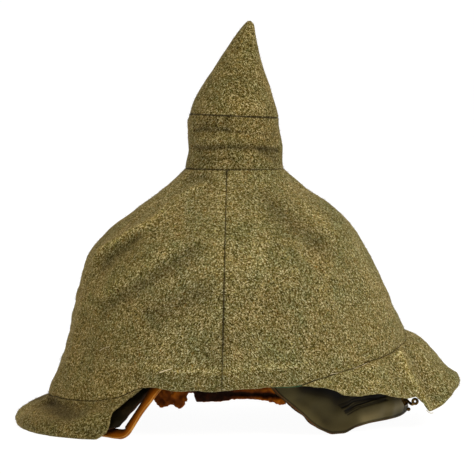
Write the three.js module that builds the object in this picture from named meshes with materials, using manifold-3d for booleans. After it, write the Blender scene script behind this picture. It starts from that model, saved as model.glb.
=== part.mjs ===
// Pickelhaube in its wool field cover: leather skull, visors, spike, sweatband, chin strap and sewn cloth.
// Millimetres, +Z up. The front of the helmet faces -X, and it stands on the plane Z = 0.
import * as THREE from 'three';
import { mergeVertices } from 'three/addons/utils/BufferGeometryUtils.js';
import Module from 'manifold-3d';

// Driving dimensions
const CLOTH = 2.2; // wool cloth with its nap
const LEATHER = 2.5; // skull and visors
const BAND = 1.8; // sweatband leather
const GAP = 0.3; // between neighbouring pieces
const NECK_HEIGHT = 170; // seam between crown and sleeve
const APEX_HEIGHT = 156.5; // top of the leather skull
const FLAP_FLOOR = 0.4; // least height of the front flap's lining side
const VISOR_FLOOR = 0.2; // least height of the rear visor's inside

// Stations of each wall: round it and down it.
const FACETS = {
  panel: { around: 24, down: 14 },
  frontFlap: { around: 30, down: 6 },
  rearFlap: { around: 40, down: 6 },
  sleeve: { around: 32, down: 5 },
  cone: { around: 28, down: 7 },
  skull: { around: 40, down: 9 },
  frontVisor: { around: 24, down: 4 },
  rearVisor: { around: 40, down: 4 },
  sweatband: { around: 64, down: 3 },
};
const TURNED_SIDES = { knob: 14, spike: 20, wire: 3 };
const TIP_CROWDING = 1.4; // rows of the cone crowd together towards its tip
const EAR_CROWDING = 20; // degrees by which the sweatband's stations crowd towards the ears
const EAR_SHIFT = 10; // degrees by which that crowding lies in front of the near side's middle
const END_SHARPNESS = 6; // power that keeps what changes at the ends of a flap close to its ends

// Angles run anticlockwise seen from above: 0 is the rear, 90 the far side, 180 the front, -90 the near.
// Horizontal sections of the cloth crown: reach to the front, to the rear and to each side at a height.
const CROWN = [
  { z: 14, front: -131.5, rear: 127.5, half: 92.5 },
  { z: 22, front: -128, rear: 126, half: 92.5 },
  { z: 40, front: -121.9, rear: 121, half: 91.5 },
  { z: 60, front: -115.2, rear: 115, half: 90 },
  { z: 80, front: -111.6, rear: 105, half: 87.5 },
  { z: 105, front: -104.8, rear: 94.2, half: 82 },
  { z: 114, front: -101.6, rear: 89.6, half: 79 },
  { z: 122, front: -96, rear: 85, half: 75.5 },
  { z: 133, front: -83.8, rear: 77.2, half: 68 },
  { z: 148, front: -64.4, rear: 61.8, half: 55.5 },
  { z: 160, front: -48.6, rear: 44, half: 44.5 },
  { z: 170, front: -36.2, rear: 31.2, half: 34 },
];
// Side seams of the crown: nearly upright, so their place along X hardly changes.
const SIDE_SEAM = [
  { z: 30, x: -10.5 },
  { z: 170, x: -7.6 },
];
// Lower edge of the crown: flap seams at front and rear, open hem at the ears.
const CROWN_EDGE = [
  { angle: 0, z: 61.3 },
  { angle: 12, z: 59.2 },
  { angle: 22, z: 55.8 },
  { angle: 33, z: 49.6 },
  { angle: 44, z: 44.5 },
  { angle: 56, z: 39.7 },
  { angle: 68, z: 36.4 },
  { angle: 78, z: 35.4 },
  { angle: 88, z: 34 },
  { angle: 95, z: 32.4 },
  { angle: 108, z: 32.4 },
  { angle: 116, z: 33.6 },
  { angle: 122, z: 32.4 },
  { angle: 130, z: 24.6 },
  { angle: 137, z: 21.2 },
  { angle: 145, z: 19.2 },
  { angle: 180, z: 17 },
];
// Standing folds and dents of the crown: a line on the cloth, its breadth and how far it stands out.
const CLOTH_PER_DEGREE = 1.55; // millimetres of cloth in a degree of turn at the shoulders
const FOLDS = [
  { name: 'front ridge, near', angle: -157, z: 116, toAngle: -132, toZ: 147, width: 6.5, rise: 3 },
  { name: 'hollow under it', angle: -150, z: 106, toAngle: -138, toZ: 118, width: 9, rise: -1.6 },
  { name: 'front edge, near', angle: -158, z: 88, toAngle: -160, toZ: 46, width: 8, rise: 1.8 },
  { name: 'rear shoulder', angle: -12, z: 146, toAngle: -34, toZ: 126, width: 9, rise: 1.2 },
  { name: 'rear slope, near', angle: -38, z: 104, toAngle: -46, toZ: 62, width: 12, rise: -0.9 },
  { name: 'front ridge, far', angle: 152, z: 114, toAngle: 128, toZ: 142, width: 9, rise: 2.2 },
  { name: 'rear shoulder, far', angle: 24, z: 140, toAngle: 40, toZ: 112, width: 10, rise: 1.8 },
];
// Hem of the front flap in plan: half an ellipse on the ground, wider than the skull.
const FRONT_HEM = { middle: -85, reach: 65.7, half: 87, corner: 85 };
const FRONT_FLAP_END = 122.5; // angle where the flap leaves the crown edge
const FRONT_END_BOW = 0.04; // share of the flap's half by which its ends bow in between seam and hem
// Shape of the front flap from seam to hem: it falls in under the seam, then rounds over the visor's edge.
const FRONT_PROFILE = [
  { share: 0, out: 0, drop: 0 },
  { share: 0.2, out: 0.14, drop: 0.16 },
  { share: 0.45, out: 0.6, drop: 0.38 },
  { share: 0.7, out: 0.93, drop: 0.63 },
  { share: 0.87, out: 1.036, drop: 0.86 },
  { share: 1, out: 1, drop: 1 },
];
// Hem of the rear flap, measured from the seam it hangs from: outwards and downwards.
const REAR_HEM = [
  { angle: 0, out: 36.7, drop: 34.2 },
  { angle: 12, out: 31.8, drop: 37.4 },
  { angle: 18, out: 27.2, drop: 42.4 },
  { angle: 22, out: 23.6, drop: 43 },
  { angle: 25, out: 20.8, drop: 38.4 },
  { angle: 29, out: 17.8, drop: 28.3 },
  { angle: 32, out: 16.1, drop: 26.6 },
  { angle: 38, out: 13.4, drop: 22.4 },
  { angle: 42, out: 12.1, drop: 18.5 },
  { angle: 46, out: 11, drop: 15.7 },
  { angle: 52, out: 9.2, drop: 13.5 },
  { angle: 57, out: 7.2, drop: 11.6 },
  { angle: 60, out: 5.8, drop: 7.8 },
  { angle: 67, out: 2.2, drop: 1.5 },
];
// Shape of the rear flap from seam to hem: it springs out level and then falls straight.
const REAR_PROFILE = [
  { share: 0, out: 0, drop: 0 },
  { share: 0.17, out: 0.12, drop: 0.03 },
  { share: 0.33, out: 0.3, drop: 0.15 },
  { share: 0.5, out: 0.5, drop: 0.41 },
  { share: 0.67, out: 0.74, drop: 0.68 },
  { share: 0.83, out: 0.95, drop: 0.86 },
  { share: 1, out: 1, drop: 1 },
];
const REAR_FLAP_END = 67;
// Cloth sleeve and cone over the spike: horizontal sections.
const SLEEVE = [
  { z: 170.3, front: -36, rear: 31.2 },
  { z: 177, front: -35, rear: 30.2 },
  { z: 185, front: -33.6, rear: 30.4 },
  { z: 193, front: -34, rear: 29.3 },
  { z: 203, front: -34.2, rear: 27.8 },
  { z: 207.3, front: -33.2, rear: 27.6 },
];
const CONE = [
  { z: 207.7, front: -33, rear: 27.5 },
  { z: 217, front: -29.7, rear: 24.9 },
  { z: 229, front: -23.3, rear: 21.2 },
  { z: 241, front: -15.3, rear: 17 },
  { z: 253, front: -7.3, rear: 13.9 },
  { z: 262, front: -1.2, rear: 12 },
  { z: 269, front: 4.2, rear: 10.9 },
  { z: 271.9, front: 6.8, rear: 8.6 },
];
// Leather skull: horizontal sections, and the height of its rim round the head.
const SHELL = [
  { z: 18, front: -114, rear: 117, half: 82.5 },
  { z: 40, front: -112.5, rear: 113.5, half: 82.3 },
  { z: 60, front: -110.5, rear: 109.5, half: 81.8 },
  { z: 80, front: -107.6, rear: 100.6, half: 80.8 },
  { z: 105, front: -101.6, rear: 89.8, half: 78 },
  { z: 120, front: -90, rear: 79, half: 69 },
  { z: 135, front: -74, rear: 66, half: 58 },
  { z: 146, front: -54, rear: 49, half: 43 },
  { z: 153, front: -33, rear: 31, half: 27 },
  { z: 156.5, front: -4, rear: 4, half: 4 },
];
const SHELL_RIM = [
  { angle: 0, z: 60 },
  { angle: 30, z: 53.5 },
  { angle: 60, z: 40 },
  { angle: 78, z: 36.5 },
  { angle: 115, z: 36 },
  { angle: 140, z: 28 },
  { angle: 180, z: 24 },
];
// Front visor: plan of its edge, and the angle on the rim where it ends at each side.
const FRONT_EDGE = { middle: -85, reach: 61.4, half: 81.6, corner: 97, z: 3.7, cornerRise: 3 };
const FRONT_VISOR_END = 118;
// Shape of the front visor from rim to edge: steep at the rim, flatter towards the edge.
const VISOR_PROFILE = [
  { share: 0, out: 0, drop: 0 },
  { share: 0.35, out: 0.27, drop: 0.47 },
  { share: 0.7, out: 0.65, drop: 0.8 },
  { share: 1, out: 1, drop: 1 },
];
// Rear visor: height of its lower edge and how far that edge leans out from the rim.
const REAR_EDGE = [
  { angle: 0, z: 9.2, out: 5.4 },
  { angle: 10, z: 8, out: 5 },
  { angle: 20, z: 6.9, out: 4.4 },
  { angle: 38, z: 6, out: 1.5 },
  { angle: 46, z: 3.2, out: -1 },
  { angle: 51.9, z: 0, out: -1.9 },
  { angle: 56.1, z: 0, out: -2.3 },
  { angle: 60, z: 2.4, out: -2.3 },
  { angle: 64, z: 6.8, out: -1.8 },
  { angle: 68, z: 13.4, out: -1.3 },
  { angle: 76, z: 26.4, out: -0.3 },
  { angle: 80, z: 33.4, out: 0 },
];
const REAR_VISOR_END = 80;
// Sweatband: its height inside the skull, its distance from the skull's outside, and how far its
// torn lower edge hangs below the skull's rim.
const BAND_TOP = 20;
const BAND_INSET = 3.85;
const BAND_EDGE = [
  { angle: -180, drop: -2 },
  { angle: -127, drop: -2 },
  { angle: -121.5, drop: 6 },
  { angle: -119.5, drop: 13.6 },
  { angle: -116.7, drop: 16.8 },
  { angle: -113.5, drop: 14.8 },
  { angle: -110.9, drop: 17.4 },
  { angle: -108.8, drop: 15.4 },
  { angle: -107.2, drop: 6.2 },
  { angle: -105.7, drop: 6.2 },
  { angle: -104.4, drop: 12.8 },
  { angle: -93.6, drop: 11.6 },
  { angle: -92.4, drop: 10.6 },
  { angle: -82.3, drop: 11.2 },
  { angle: -78, drop: 14 },
  { angle: -75.4, drop: 14.6 },
  { angle: -73, drop: 12.4 },
  { angle: -71, drop: -2 },
  { angle: 72, drop: -2 },
  { angle: 78, drop: 8.5 },
  { angle: 100, drop: 10 },
  { angle: 121, drop: 9 },
  { angle: 128, drop: -2 },
  { angle: 180, drop: -2 },
];
// Chin strap: middle of the band from the near knob to the front, mirrored for the far half.
// Its face looks along the compass angle turn and leans up by the angle lean.
const STRAP = { width: 9, thick: 1.9 };
const STRAP_ROUTE = [
  { x: -40.8, y: -77.8, z: 56.2, turn: -106, lean: 2 },
  { x: -46.8, y: -76.3, z: 43.5, turn: -110, lean: 3 },
  { x: -51.2, y: -77.5, z: 34.6, turn: -130, lean: 14 },
  { x: -56.2, y: -79.3, z: 26.6, turn: -146, lean: 24 },
  { x: -62.4, y: -81, z: 17.4, turn: -154, lean: 31 },
  { x: -68.2, y: -83.2, z: 8.2, turn: -150, lean: 37 },
  { x: -70.6, y: -83, z: 5, turn: -143, lean: 45 },
  { x: -74.6, y: -80, z: 3.5, turn: -132, lean: 57 },
  { x: -86.4, y: -71, z: 3.4, turn: -128, lean: 60 },
  { x: -103, y: -57, z: 3.4, turn: -137, lean: 60 },
  { x: -117, y: -38, z: 3.4, turn: -150, lean: 60 },
  { x: -124.5, y: -15, z: 3.4, turn: -169, lean: 60 },
];
const STRAP_STEPS = 28; // stations along each half
const KNOB = { angle: 112.3, z: 52, shank: 1.8, head: 3.8, headThick: 1.2 };
// Hook of the rear hem: bent wire, from its eye down to the tip that bears on the visor.
const HOOK = { wire: 0.8, eyeRadius: 1.7, eyeTurn: 300, eyeRows: 8, steps: 28 };
const HOOK_ROUTE = [
  { name: 'eye', x: 118, y: -47.3, z: 20 },
  { name: 'elbow', x: 114.6, y: -36, z: 15.2 },
  { name: 'tip', x: 109.8, y: -25.6, z: 17.4 },
];
// Spike and its base, hidden in the cloth: radius at a height above the skull's apex.
const SPIKE = [
  { z: 0.6, r: 0 },
  { z: 0.6, r: 24 },
  { z: 3.2, r: 23 },
  { z: 8, r: 15 },
  { z: 16, r: 12.5 },
  { z: 30, r: 13.5 },
  { z: 36, r: 10.5 },
  { z: 104, r: 1.6 },
  { z: 105, r: 0 },
];
const SPIKE_LEAN = 2.2; // degrees, towards the rear
const SPIKE_FOOT = -1.5; // place of the base along X

const radians = THREE.MathUtils.degToRad;
const point = (x, y, z) => new THREE.Vector3(x, y, z);

// Value of one column of a table at a key, on a smooth curve that never overshoots its rows.
// A table of angles starts and ends level, because the helmet is alike on both sides of its middle.
function read(rows, key, at, column) {
  const last = rows.length - 1;
  const x = THREE.MathUtils.clamp(at, rows[0][key], rows[last][key]);
  let i = 0;
  while (i < last - 1 && x > rows[i + 1][key]) i += 1;
  const slope = (k) => (rows[k + 1][column] - rows[k][column]) / (rows[k + 1][key] - rows[k][key]);
  const tangent = (k) => {
    if (k === 0 || k === last) return key === 'angle' ? 0 : slope(Math.min(k, last - 1));
    const before = slope(k - 1);
    const after = slope(k);
    return before * after <= 0 ? 0 : (2 * before * after) / (before + after);
  };
  const step = rows[i + 1][key] - rows[i][key];
  const t = (x - rows[i][key]) / step;
  const rise = rows[i + 1][column] - rows[i][column];
  const a = tangent(i) * step;
  const b = tangent(i + 1) * step;
  return rows[i][column] + t * (a + t * (3 * rise - 2 * a - b + t * (a + b - 2 * rise)));
}

// Angle brought into -180 to 180 degrees.
const wrapped = (angle) => THREE.MathUtils.euclideanModulo(angle + 180, 360) - 180;

// Point of an oval section at an angle. Sections with no half width are round.
function oval(rows, angle, z) {
  const front = read(rows, 'z', z, 'front');
  const rear = read(rows, 'z', z, 'rear');
  const half = 'half' in rows[0] ? read(rows, 'z', z, 'half') : (rear - front) / 2;
  const a = radians(angle);
  return point((front + rear) / 2 + ((rear - front) / 2) * Math.cos(a), half * Math.sin(a), z);
}

// Direction that leads outwards from an oval, level with the ground.
function outwards(rows, angle, z) {
  const along = oval(rows, angle + 0.5, z).sub(oval(rows, angle - 0.5, z));
  return point(along.y, -along.x, 0).normalize();
}

// How far the crown stands out at a place because of its folds.
function foldRise(angle, z) {
  return FOLDS.reduce((sum, fold) => {
    const from = new THREE.Vector2(fold.angle * CLOTH_PER_DEGREE, fold.z);
    const along = new THREE.Vector2(fold.toAngle * CLOTH_PER_DEGREE, fold.toZ).sub(from);
    const here = new THREE.Vector2(wrapped(angle) * CLOTH_PER_DEGREE, z).sub(from);
    const t = THREE.MathUtils.clamp(here.dot(along) / along.lengthSq(), 0, 1);
    const away = here.sub(along.multiplyScalar(t)).length() / fold.width;
    return sum + fold.rise * Math.exp(-away * away);
  }, 0);
}

// Closed solid between a surface and its offset: u runs round anticlockwise, v runs down or out.
// form.ring joins the ends of u and form.pole closes the first row to a point.
// form.levelTop and form.levelEnd keep a rim level, and form.floor is the least height of the inside.
function wall(surface, { around, down }, thick, form = {}) {
  const columns = form.ring ? around : around + 1;
  const nudge = 1e-3;
  const positions = [];
  const layers = [[], []];
  const add = (p) => positions.push(p.x, p.y, p.z) / 3 - 1;
  for (let j = 0; j <= down; j += 1) {
    const rows = [[], []];
    for (let i = 0; i < columns; i += 1) {
      const u = i / around;
      const v = j / down;
      const outside = surface(u, v);
      const alongU = surface(u + nudge, v).sub(surface(u - nudge, v));
      const alongV = surface(u, Math.min(v + nudge, 1)).sub(surface(u, Math.max(v - nudge, 0)));
      const normal = form.pole && j === 0 ? point(0, 0, 1) : alongV.cross(alongU).normalize();
      const inside = outside.clone().addScaledVector(normal, -thick);
      const level = j === 0 ? form.levelTop : j === down && form.levelEnd;
      if (level) inside.z = outside.z;
      else if (form.floor) inside.z = Math.max(inside.z, form.floor);
      const shared = form.pole && j === 0 && i > 0;
      rows[0].push(shared ? rows[0][0] : add(outside));
      rows[1].push(shared ? rows[1][0] : add(inside));
    }
    layers[0].push(rows[0]);
    layers[1].push(rows[1]);
  }
  const index = [];
  const face = (a, b, c) => a !== b && b !== c && c !== a && index.push(a, b, c);
  const quad = (a, b, c, d) => {
    face(a, b, c);
    face(a, c, d);
  };
  const [outer, inner] = layers;
  for (let i = 0; i < around; i += 1) {
    const next = (i + 1) % columns;
    for (let j = 0; j < down; j += 1) {
      quad(outer[j][i], outer[j + 1][i], outer[j + 1][next], outer[j][next]);
      quad(inner[j][i], inner[j][next], inner[j + 1][next], inner[j + 1][i]);
    }
    if (!form.pole) quad(outer[0][i], outer[0][next], inner[0][next], inner[0][i]);
    quad(outer[down][i], inner[down][i], inner[down][next], outer[down][next]);
  }
  if (!form.ring) {
    for (let j = 0; j < down; j += 1) {
      quad(outer[j][0], inner[j][0], inner[j + 1][0], outer[j + 1][0]);
      quad(outer[j][around], outer[j + 1][around], inner[j + 1][around], inner[j][around]);
    }
  }
  const geometry = new THREE.BufferGeometry();
  geometry.setAttribute('position', new THREE.Float32BufferAttribute(positions, 3));
  geometry.setIndex(index);
  return geometry;
}

// Materials
function finish(color, roughness, metalness = 0) {
  return new THREE.MeshStandardMaterial({ color, roughness, metalness });
}

const wool = finish(0x75694a, 0.95);
const blackLeather = finish(0x2a261c, 0.5);
const darkLeather = finish(0x3b3625, 0.45);
const brownLeather = finish(0x4d2a10, 0.6);
const tanLeather = finish(0x8a4f14, 0.5);
const steel = finish(0x3a3028, 0.4, 0.9);

const helmet = new THREE.Group();

function piece(name, geometry, material) {
  const mesh = new THREE.Mesh(geometry, material);
  mesh.name = name;
  helmet.add(mesh);
  return mesh;
}

// Crown: two halves of cloth that hang from the neck seam and meet at the side seams.
const crownEdge = (angle) => read(CROWN_EDGE, 'angle', Math.abs(wrapped(angle)), 'z');

function crownPoint(angle, z) {
  return oval(CROWN, angle, z).addScaledVector(outwards(CROWN, angle, z), foldRise(angle, z));
}

// Half turn of a panel at a height, from the middle of its back to a side seam.
function seamTurn(z) {
  const front = read(CROWN, 'z', z, 'front');
  const rear = read(CROWN, 'z', z, 'rear');
  const seam = read(SIDE_SEAM, 'z', z, 'x') + GAP / 2;
  return THREE.MathUtils.radToDeg(Math.acos((2 * seam - front - rear) / (rear - front)));
}

function crownPanel(middle, halfTurn) {
  return wall((u, v) => {
    const edge = crownEdge(middle + halfTurn(CROWN[0].z) * (2 * u - 1));
    const z = THREE.MathUtils.lerp(NECK_HEIGHT, edge, v);
    return crownPoint(middle + halfTurn(z) * (2 * u - 1), z);
  }, FACETS.panel, CLOTH);
}

// Turn that leaves the gap of the side seam.
function seamTrim(z) {
  const length = read(CROWN, 'z', z, 'rear') - read(CROWN, 'z', z, 'front');
  return THREE.MathUtils.radToDeg((2 * GAP) / length);
}

piece('cover_front_panel', crownPanel(180, (z) => 180 - seamTurn(z) - seamTrim(z)), wool);
piece('cover_rear_panel', crownPanel(0, seamTurn), wool);

// Front flap: rounds over the visor from the crown edge to a level hem on the ground.
function ellipsePoint(plan, share, z) {
  const a = radians(180 + plan.corner * (2 * share - 1));
  return point(plan.middle + plan.reach * Math.cos(a), plan.half * Math.sin(a), z);
}

// Point of a flap: the share of the way from its seam to its hem, along the flap's own profile.
// A flap that is straight takes the straight way instead.
function flapPoint(seam, hem, profile, v, straight = 0) {
  const out = THREE.MathUtils.lerp(read(profile, 'share', v, 'out'), v, straight);
  const drop = THREE.MathUtils.lerp(read(profile, 'share', v, 'drop'), v, straight);
  return point(
    THREE.MathUtils.lerp(seam.x, hem.x, out),
    THREE.MathUtils.lerp(seam.y, hem.y, out),
    THREE.MathUtils.lerp(seam.z, hem.z, drop),
  );
}

// Grows from nothing along the front to one at both ends.
const atSides = (u) => (2 * u - 1) ** END_SHARPNESS;

function frontFlapPoint(u, v) {
  const bow = 4 * FRONT_END_BOW * v * (1 - v);
  const across = THREE.MathUtils.lerp(u, 0.5, bow);
  const angle = 180 + (180 - FRONT_FLAP_END) * (2 * across - 1);
  const seam = crownPoint(angle, crownEdge(angle) - 2 * GAP);
  return flapPoint(seam, ellipsePoint(FRONT_HEM, across, 0), FRONT_PROFILE, v, atSides(across));
}

const frontForm = { floor: FLAP_FLOOR, levelEnd: true };
piece('cover_front_flap', wall(frontFlapPoint, FACETS.frontFlap, CLOTH, frontForm), wool);

// Rear flap: hangs free of the neck visor and ruffles towards its hem.
function rearFlapPoint(u, v) {
  const angle = REAR_FLAP_END * (2 * u - 1);
  const seam = crownPoint(angle, crownEdge(angle) - GAP);
  const out = read(REAR_HEM, 'angle', Math.abs(angle), 'out');
  const drop = read(REAR_HEM, 'angle', Math.abs(angle), 'drop');
  const hem = seam.clone().addScaledVector(outwards(CROWN, angle, seam.z), out).setZ(seam.z - drop);
  return flapPoint(seam, hem, REAR_PROFILE, v);
}

piece('cover_rear_flap', wall(rearFlapPoint, FACETS.rearFlap, CLOTH), wool);

// Sleeve and cone of cloth over the spike.
function tallPiece(rows, facets, form) {
  const [low, high] = [rows[0].z, rows[rows.length - 1].z];
  return wall((u, v) => {
    const fall = form.pole ? v ** TIP_CROWDING : v;
    return oval(rows, 360 * u, THREE.MathUtils.lerp(high, low, fall));
  }, facets, CLOTH, { ring: true, levelEnd: true, ...form });
}

piece('spike_sleeve', tallPiece(SLEEVE, FACETS.sleeve, { levelTop: true }), wool);
piece('spike_cone', tallPiece(CONE, FACETS.cone, { pole: true }), wool);

// Leather skull, open below, whose rim the visors butt against.
const shellRim = (angle) => read(SHELL_RIM, 'angle', Math.abs(wrapped(angle)), 'z');

function shellPoint(angle, v) {
  const rise = Math.cos((Math.PI / 2) * v); // rows crowd together towards the apex
  return oval(SHELL, angle, THREE.MathUtils.lerp(shellRim(angle), APEX_HEIGHT, rise));
}

const skullForm = { ring: true, pole: true, levelEnd: true };
const skull = wall((u, v) => shellPoint(360 * u, v), FACETS.skull, LEATHER, skullForm);
piece('helmet_shell', skull, blackLeather);

// Front visor: a sloping plate from the rim to an edge just inside the flap.
function frontVisorPoint(u, v) {
  const angle = 180 + (180 - FRONT_VISOR_END) * (2 * u - 1);
  const root = oval(SHELL, angle, shellRim(angle) - 2 * GAP);
  const rise = FRONT_EDGE.cornerRise * atSides(u);
  return flapPoint(root, ellipsePoint(FRONT_EDGE, u, FRONT_EDGE.z + rise), VISOR_PROFILE, v, atSides(u));
}

piece('front_visor', wall(frontVisorPoint, FACETS.frontVisor, LEATHER), blackLeather);

// Rear visor: an upright neck guard whose side lobes reach the ground.
function rearVisorPoint(u, v) {
  const angle = REAR_VISOR_END * (2 * u - 1);
  const root = oval(SHELL, angle, shellRim(angle) - 2 * GAP);
  const low = read(REAR_EDGE, 'angle', Math.abs(angle), 'z');
  const out = read(REAR_EDGE, 'angle', Math.abs(angle), 'out');
  const side = outwards(SHELL, angle, root.z);
  return root.addScaledVector(side, out * v).setZ(THREE.MathUtils.lerp(root.z, low, v));
}

const rearForm = { floor: VISOR_FLOOR, levelTop: true, levelEnd: true };
piece('rear_visor', wall(rearVisorPoint, FACETS.rearVisor, LEATHER, rearForm), darkLeather);

// Sweatband: a ring just inside the skull, with more stations at the ears where its torn edge shows.
function sweatbandPoint(u, v) {
  const even = 360 * u;
  const angle = wrapped(even + EAR_CROWDING * Math.sin(radians(2 * (even + EAR_SHIFT))));
  const rim = shellRim(angle);
  const z = THREE.MathUtils.lerp(rim + BAND_TOP, rim - read(BAND_EDGE, 'angle', angle, 'drop'), v);
  const skull = oval(SHELL, angle, Math.max(z, rim));
  return skull.addScaledVector(outwards(SHELL, angle, z), -BAND_INSET).setZ(z);
}

piece('sweatband', wall(sweatbandPoint, FACETS.sweatband, BAND, { ring: true }), brownLeather);

// Chin strap: one band from knob to knob, with a hole for each knob.
const wasm = await Module();
wasm.setup();

function solidOf(geometry) {
  const bare = new THREE.BufferGeometry();
  bare.setAttribute('position', geometry.getAttribute('position'));
  bare.setIndex(geometry.getIndex());
  const merged = mergeVertices(bare, 1e-4);
  return new wasm.Manifold(new wasm.Mesh({
    numProp: 3,
    vertProperties: new Float32Array(merged.getAttribute('position').array),
    triVerts: new Uint32Array(merged.getIndex().array),
  }));
}

function geometryOf(solid) {
  const mesh = solid.getMesh();
  const geometry = new THREE.BufferGeometry();
  geometry.setAttribute('position', new THREE.Float32BufferAttribute(mesh.vertProperties, 3));
  geometry.setIndex(new THREE.BufferAttribute(mesh.triVerts, 1));
  return geometry;
}

// Stations of the strap: its middle, its face direction and the direction across its width.
function strapStations() {
  const mirrored = [...STRAP_ROUTE].reverse().map((row) => ({ ...row, y: -row.y, turn: -row.turn }));
  const rows = [...STRAP_ROUTE, ...mirrored];
  const through = (place) => new THREE.CatmullRomCurve3(rows.map(place), false, 'centripetal');
  const middle = through((row) => point(row.x, row.y, row.z));
  const faces = through((row) => point(Math.cos(radians(row.lean)), 0, Math.sin(radians(row.lean)))
    .applyAxisAngle(point(0, 0, 1), radians(row.turn)));
  return Array.from({ length: 2 * STRAP_STEPS + 1 }, (_, i) => {
    const t = i / (2 * STRAP_STEPS);
    const along = middle.getTangent(t);
    const across = along.clone().cross(faces.getPoint(t)).normalize();
    return { at: middle.getPoint(t), across, normal: across.clone().cross(along).normalize() };
  });
}

function strapGeometry() {
  const positions = [];
  const index = [];
  const stations = strapStations();
  stations.forEach(({ at, across, normal }) => {
    [[-1, -1], [1, -1], [1, 1], [-1, 1]].forEach(([side, level]) => {
      const corner = at.clone()
        .addScaledVector(across, (side * STRAP.width) / 2)
        .addScaledVector(normal, (level * STRAP.thick) / 2);
      positions.push(corner.x, corner.y, corner.z);
    });
  });
  for (let i = 0; i < stations.length - 1; i += 1) {
    for (let k = 0; k < 4; k += 1) {
      const [a, b] = [4 * i + k, 4 * i + ((k + 1) % 4)];
      index.push(a, b + 4, b, a, a + 4, b + 4);
    }
  }
  const end = 4 * (stations.length - 1);
  index.push(0, 1, 2, 0, 2, 3, end, end + 2, end + 1, end, end + 3, end + 2);
  const geometry = new THREE.BufferGeometry();
  geometry.setAttribute('position', new THREE.Float32BufferAttribute(positions, 3));
  geometry.setIndex(index);
  return geometry;
}

// Knob: shank and head on the side of the skull, square to the leather there.
function knobPlace(side) {
  const angle = KNOB.angle * side;
  return { seat: oval(SHELL, angle, KNOB.z), out: outwards(SHELL, angle, KNOB.z) };
}

function turnedOnKnob(side, profile) {
  const { seat, out } = knobPlace(side);
  const outline = profile.map(([r, y]) => new THREE.Vector2(r, y));
  const geometry = new THREE.LatheGeometry(outline, TURNED_SIDES.knob);
  geometry.applyQuaternion(new THREE.Quaternion().setFromUnitVectors(point(0, 1, 0), out));
  return geometry.translate(seat.x, seat.y, seat.z);
}

function knobGeometry(side) {
  const neck = STRAP.thick + 4 * GAP;
  const top = neck + KNOB.headThick;
  const { shank, head } = KNOB;
  return turnedOnKnob(side, [[0, GAP], [shank, GAP], [shank, neck], [head, neck], [head, top], [0, top]]);
}

function knobHole(side) {
  const hole = KNOB.shank + GAP;
  const reach = 2 * STRAP.thick;
  return turnedOnKnob(side, [[0, -reach], [hole, -reach], [hole, reach], [0, reach]]);
}

const SIDES = [['near', -1], ['far', 1]];
let strap = solidOf(strapGeometry());
SIDES.forEach(([name, side]) => {
  strap = strap.subtract(solidOf(knobHole(side)));
  piece(`strap_knob_${name}`, knobGeometry(side), steel);
});
piece('chin_strap', geometryOf(strap), tanLeather);

// Hook: an open eye of wire at the rear hem, then a shank and a turned-up tip against the visor.
function hookCurve() {
  const [eye, elbow, tip] = HOOK_ROUTE.map((row) => point(row.x, row.y, row.z));
  const down = elbow.clone().sub(eye).normalize();
  const up = point(0, 0, 1).addScaledVector(down, -down.z).normalize();
  const turns = Array.from({ length: HOOK.eyeRows + 1 }, (_, i) => {
    const a = radians(-HOOK.eyeTurn * (1 - i / HOOK.eyeRows));
    return eye.clone()
      .addScaledVector(down, HOOK.eyeRadius * Math.cos(a))
      .addScaledVector(up, HOOK.eyeRadius * Math.sin(a));
  });
  return new THREE.CatmullRomCurve3([...turns, elbow, tip], false, 'centripetal');
}

const wireSection = new THREE.Shape().absarc(0, 0, HOOK.wire, 0, 2 * Math.PI);
piece('cover_hook', new THREE.ExtrudeGeometry(wireSection, {
  extrudePath: hookCurve(),
  steps: HOOK.steps,
  curveSegments: TURNED_SIDES.wire,
  bevelEnabled: false,
}), steel);

// Spike and base in one plain piece on the apex of the skull.
const spikeOutline = SPIKE.map((row) => new THREE.Vector2(row.r, row.z));
const spike = new THREE.LatheGeometry(spikeOutline, TURNED_SIDES.spike);
const post = piece('spike_post', spike.rotateX(Math.PI / 2), steel);
post.position.set(SPIKE_FOOT, 0, APEX_HEIGHT);
post.rotation.y = radians(SPIKE_LEAN);

export default helmet;
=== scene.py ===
import math
import bpy
import numpy as np
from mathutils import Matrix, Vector


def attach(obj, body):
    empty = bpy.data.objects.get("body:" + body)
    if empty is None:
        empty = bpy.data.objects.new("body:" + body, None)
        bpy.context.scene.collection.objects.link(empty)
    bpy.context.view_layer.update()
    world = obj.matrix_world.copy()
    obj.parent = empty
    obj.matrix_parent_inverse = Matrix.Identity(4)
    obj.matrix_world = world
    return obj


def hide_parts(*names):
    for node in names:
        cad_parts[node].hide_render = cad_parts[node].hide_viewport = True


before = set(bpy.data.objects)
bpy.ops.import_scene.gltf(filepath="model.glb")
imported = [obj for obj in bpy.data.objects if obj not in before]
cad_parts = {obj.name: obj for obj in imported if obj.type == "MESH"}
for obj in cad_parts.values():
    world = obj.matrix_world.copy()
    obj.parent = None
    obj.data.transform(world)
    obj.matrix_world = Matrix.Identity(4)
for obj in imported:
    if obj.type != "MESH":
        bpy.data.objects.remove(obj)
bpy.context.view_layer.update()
mm = 0.001  # tables below are in millimetres, Blender works in metres
print("frame loaded,", len(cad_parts), "nodes")


# Tables and curves

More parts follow.
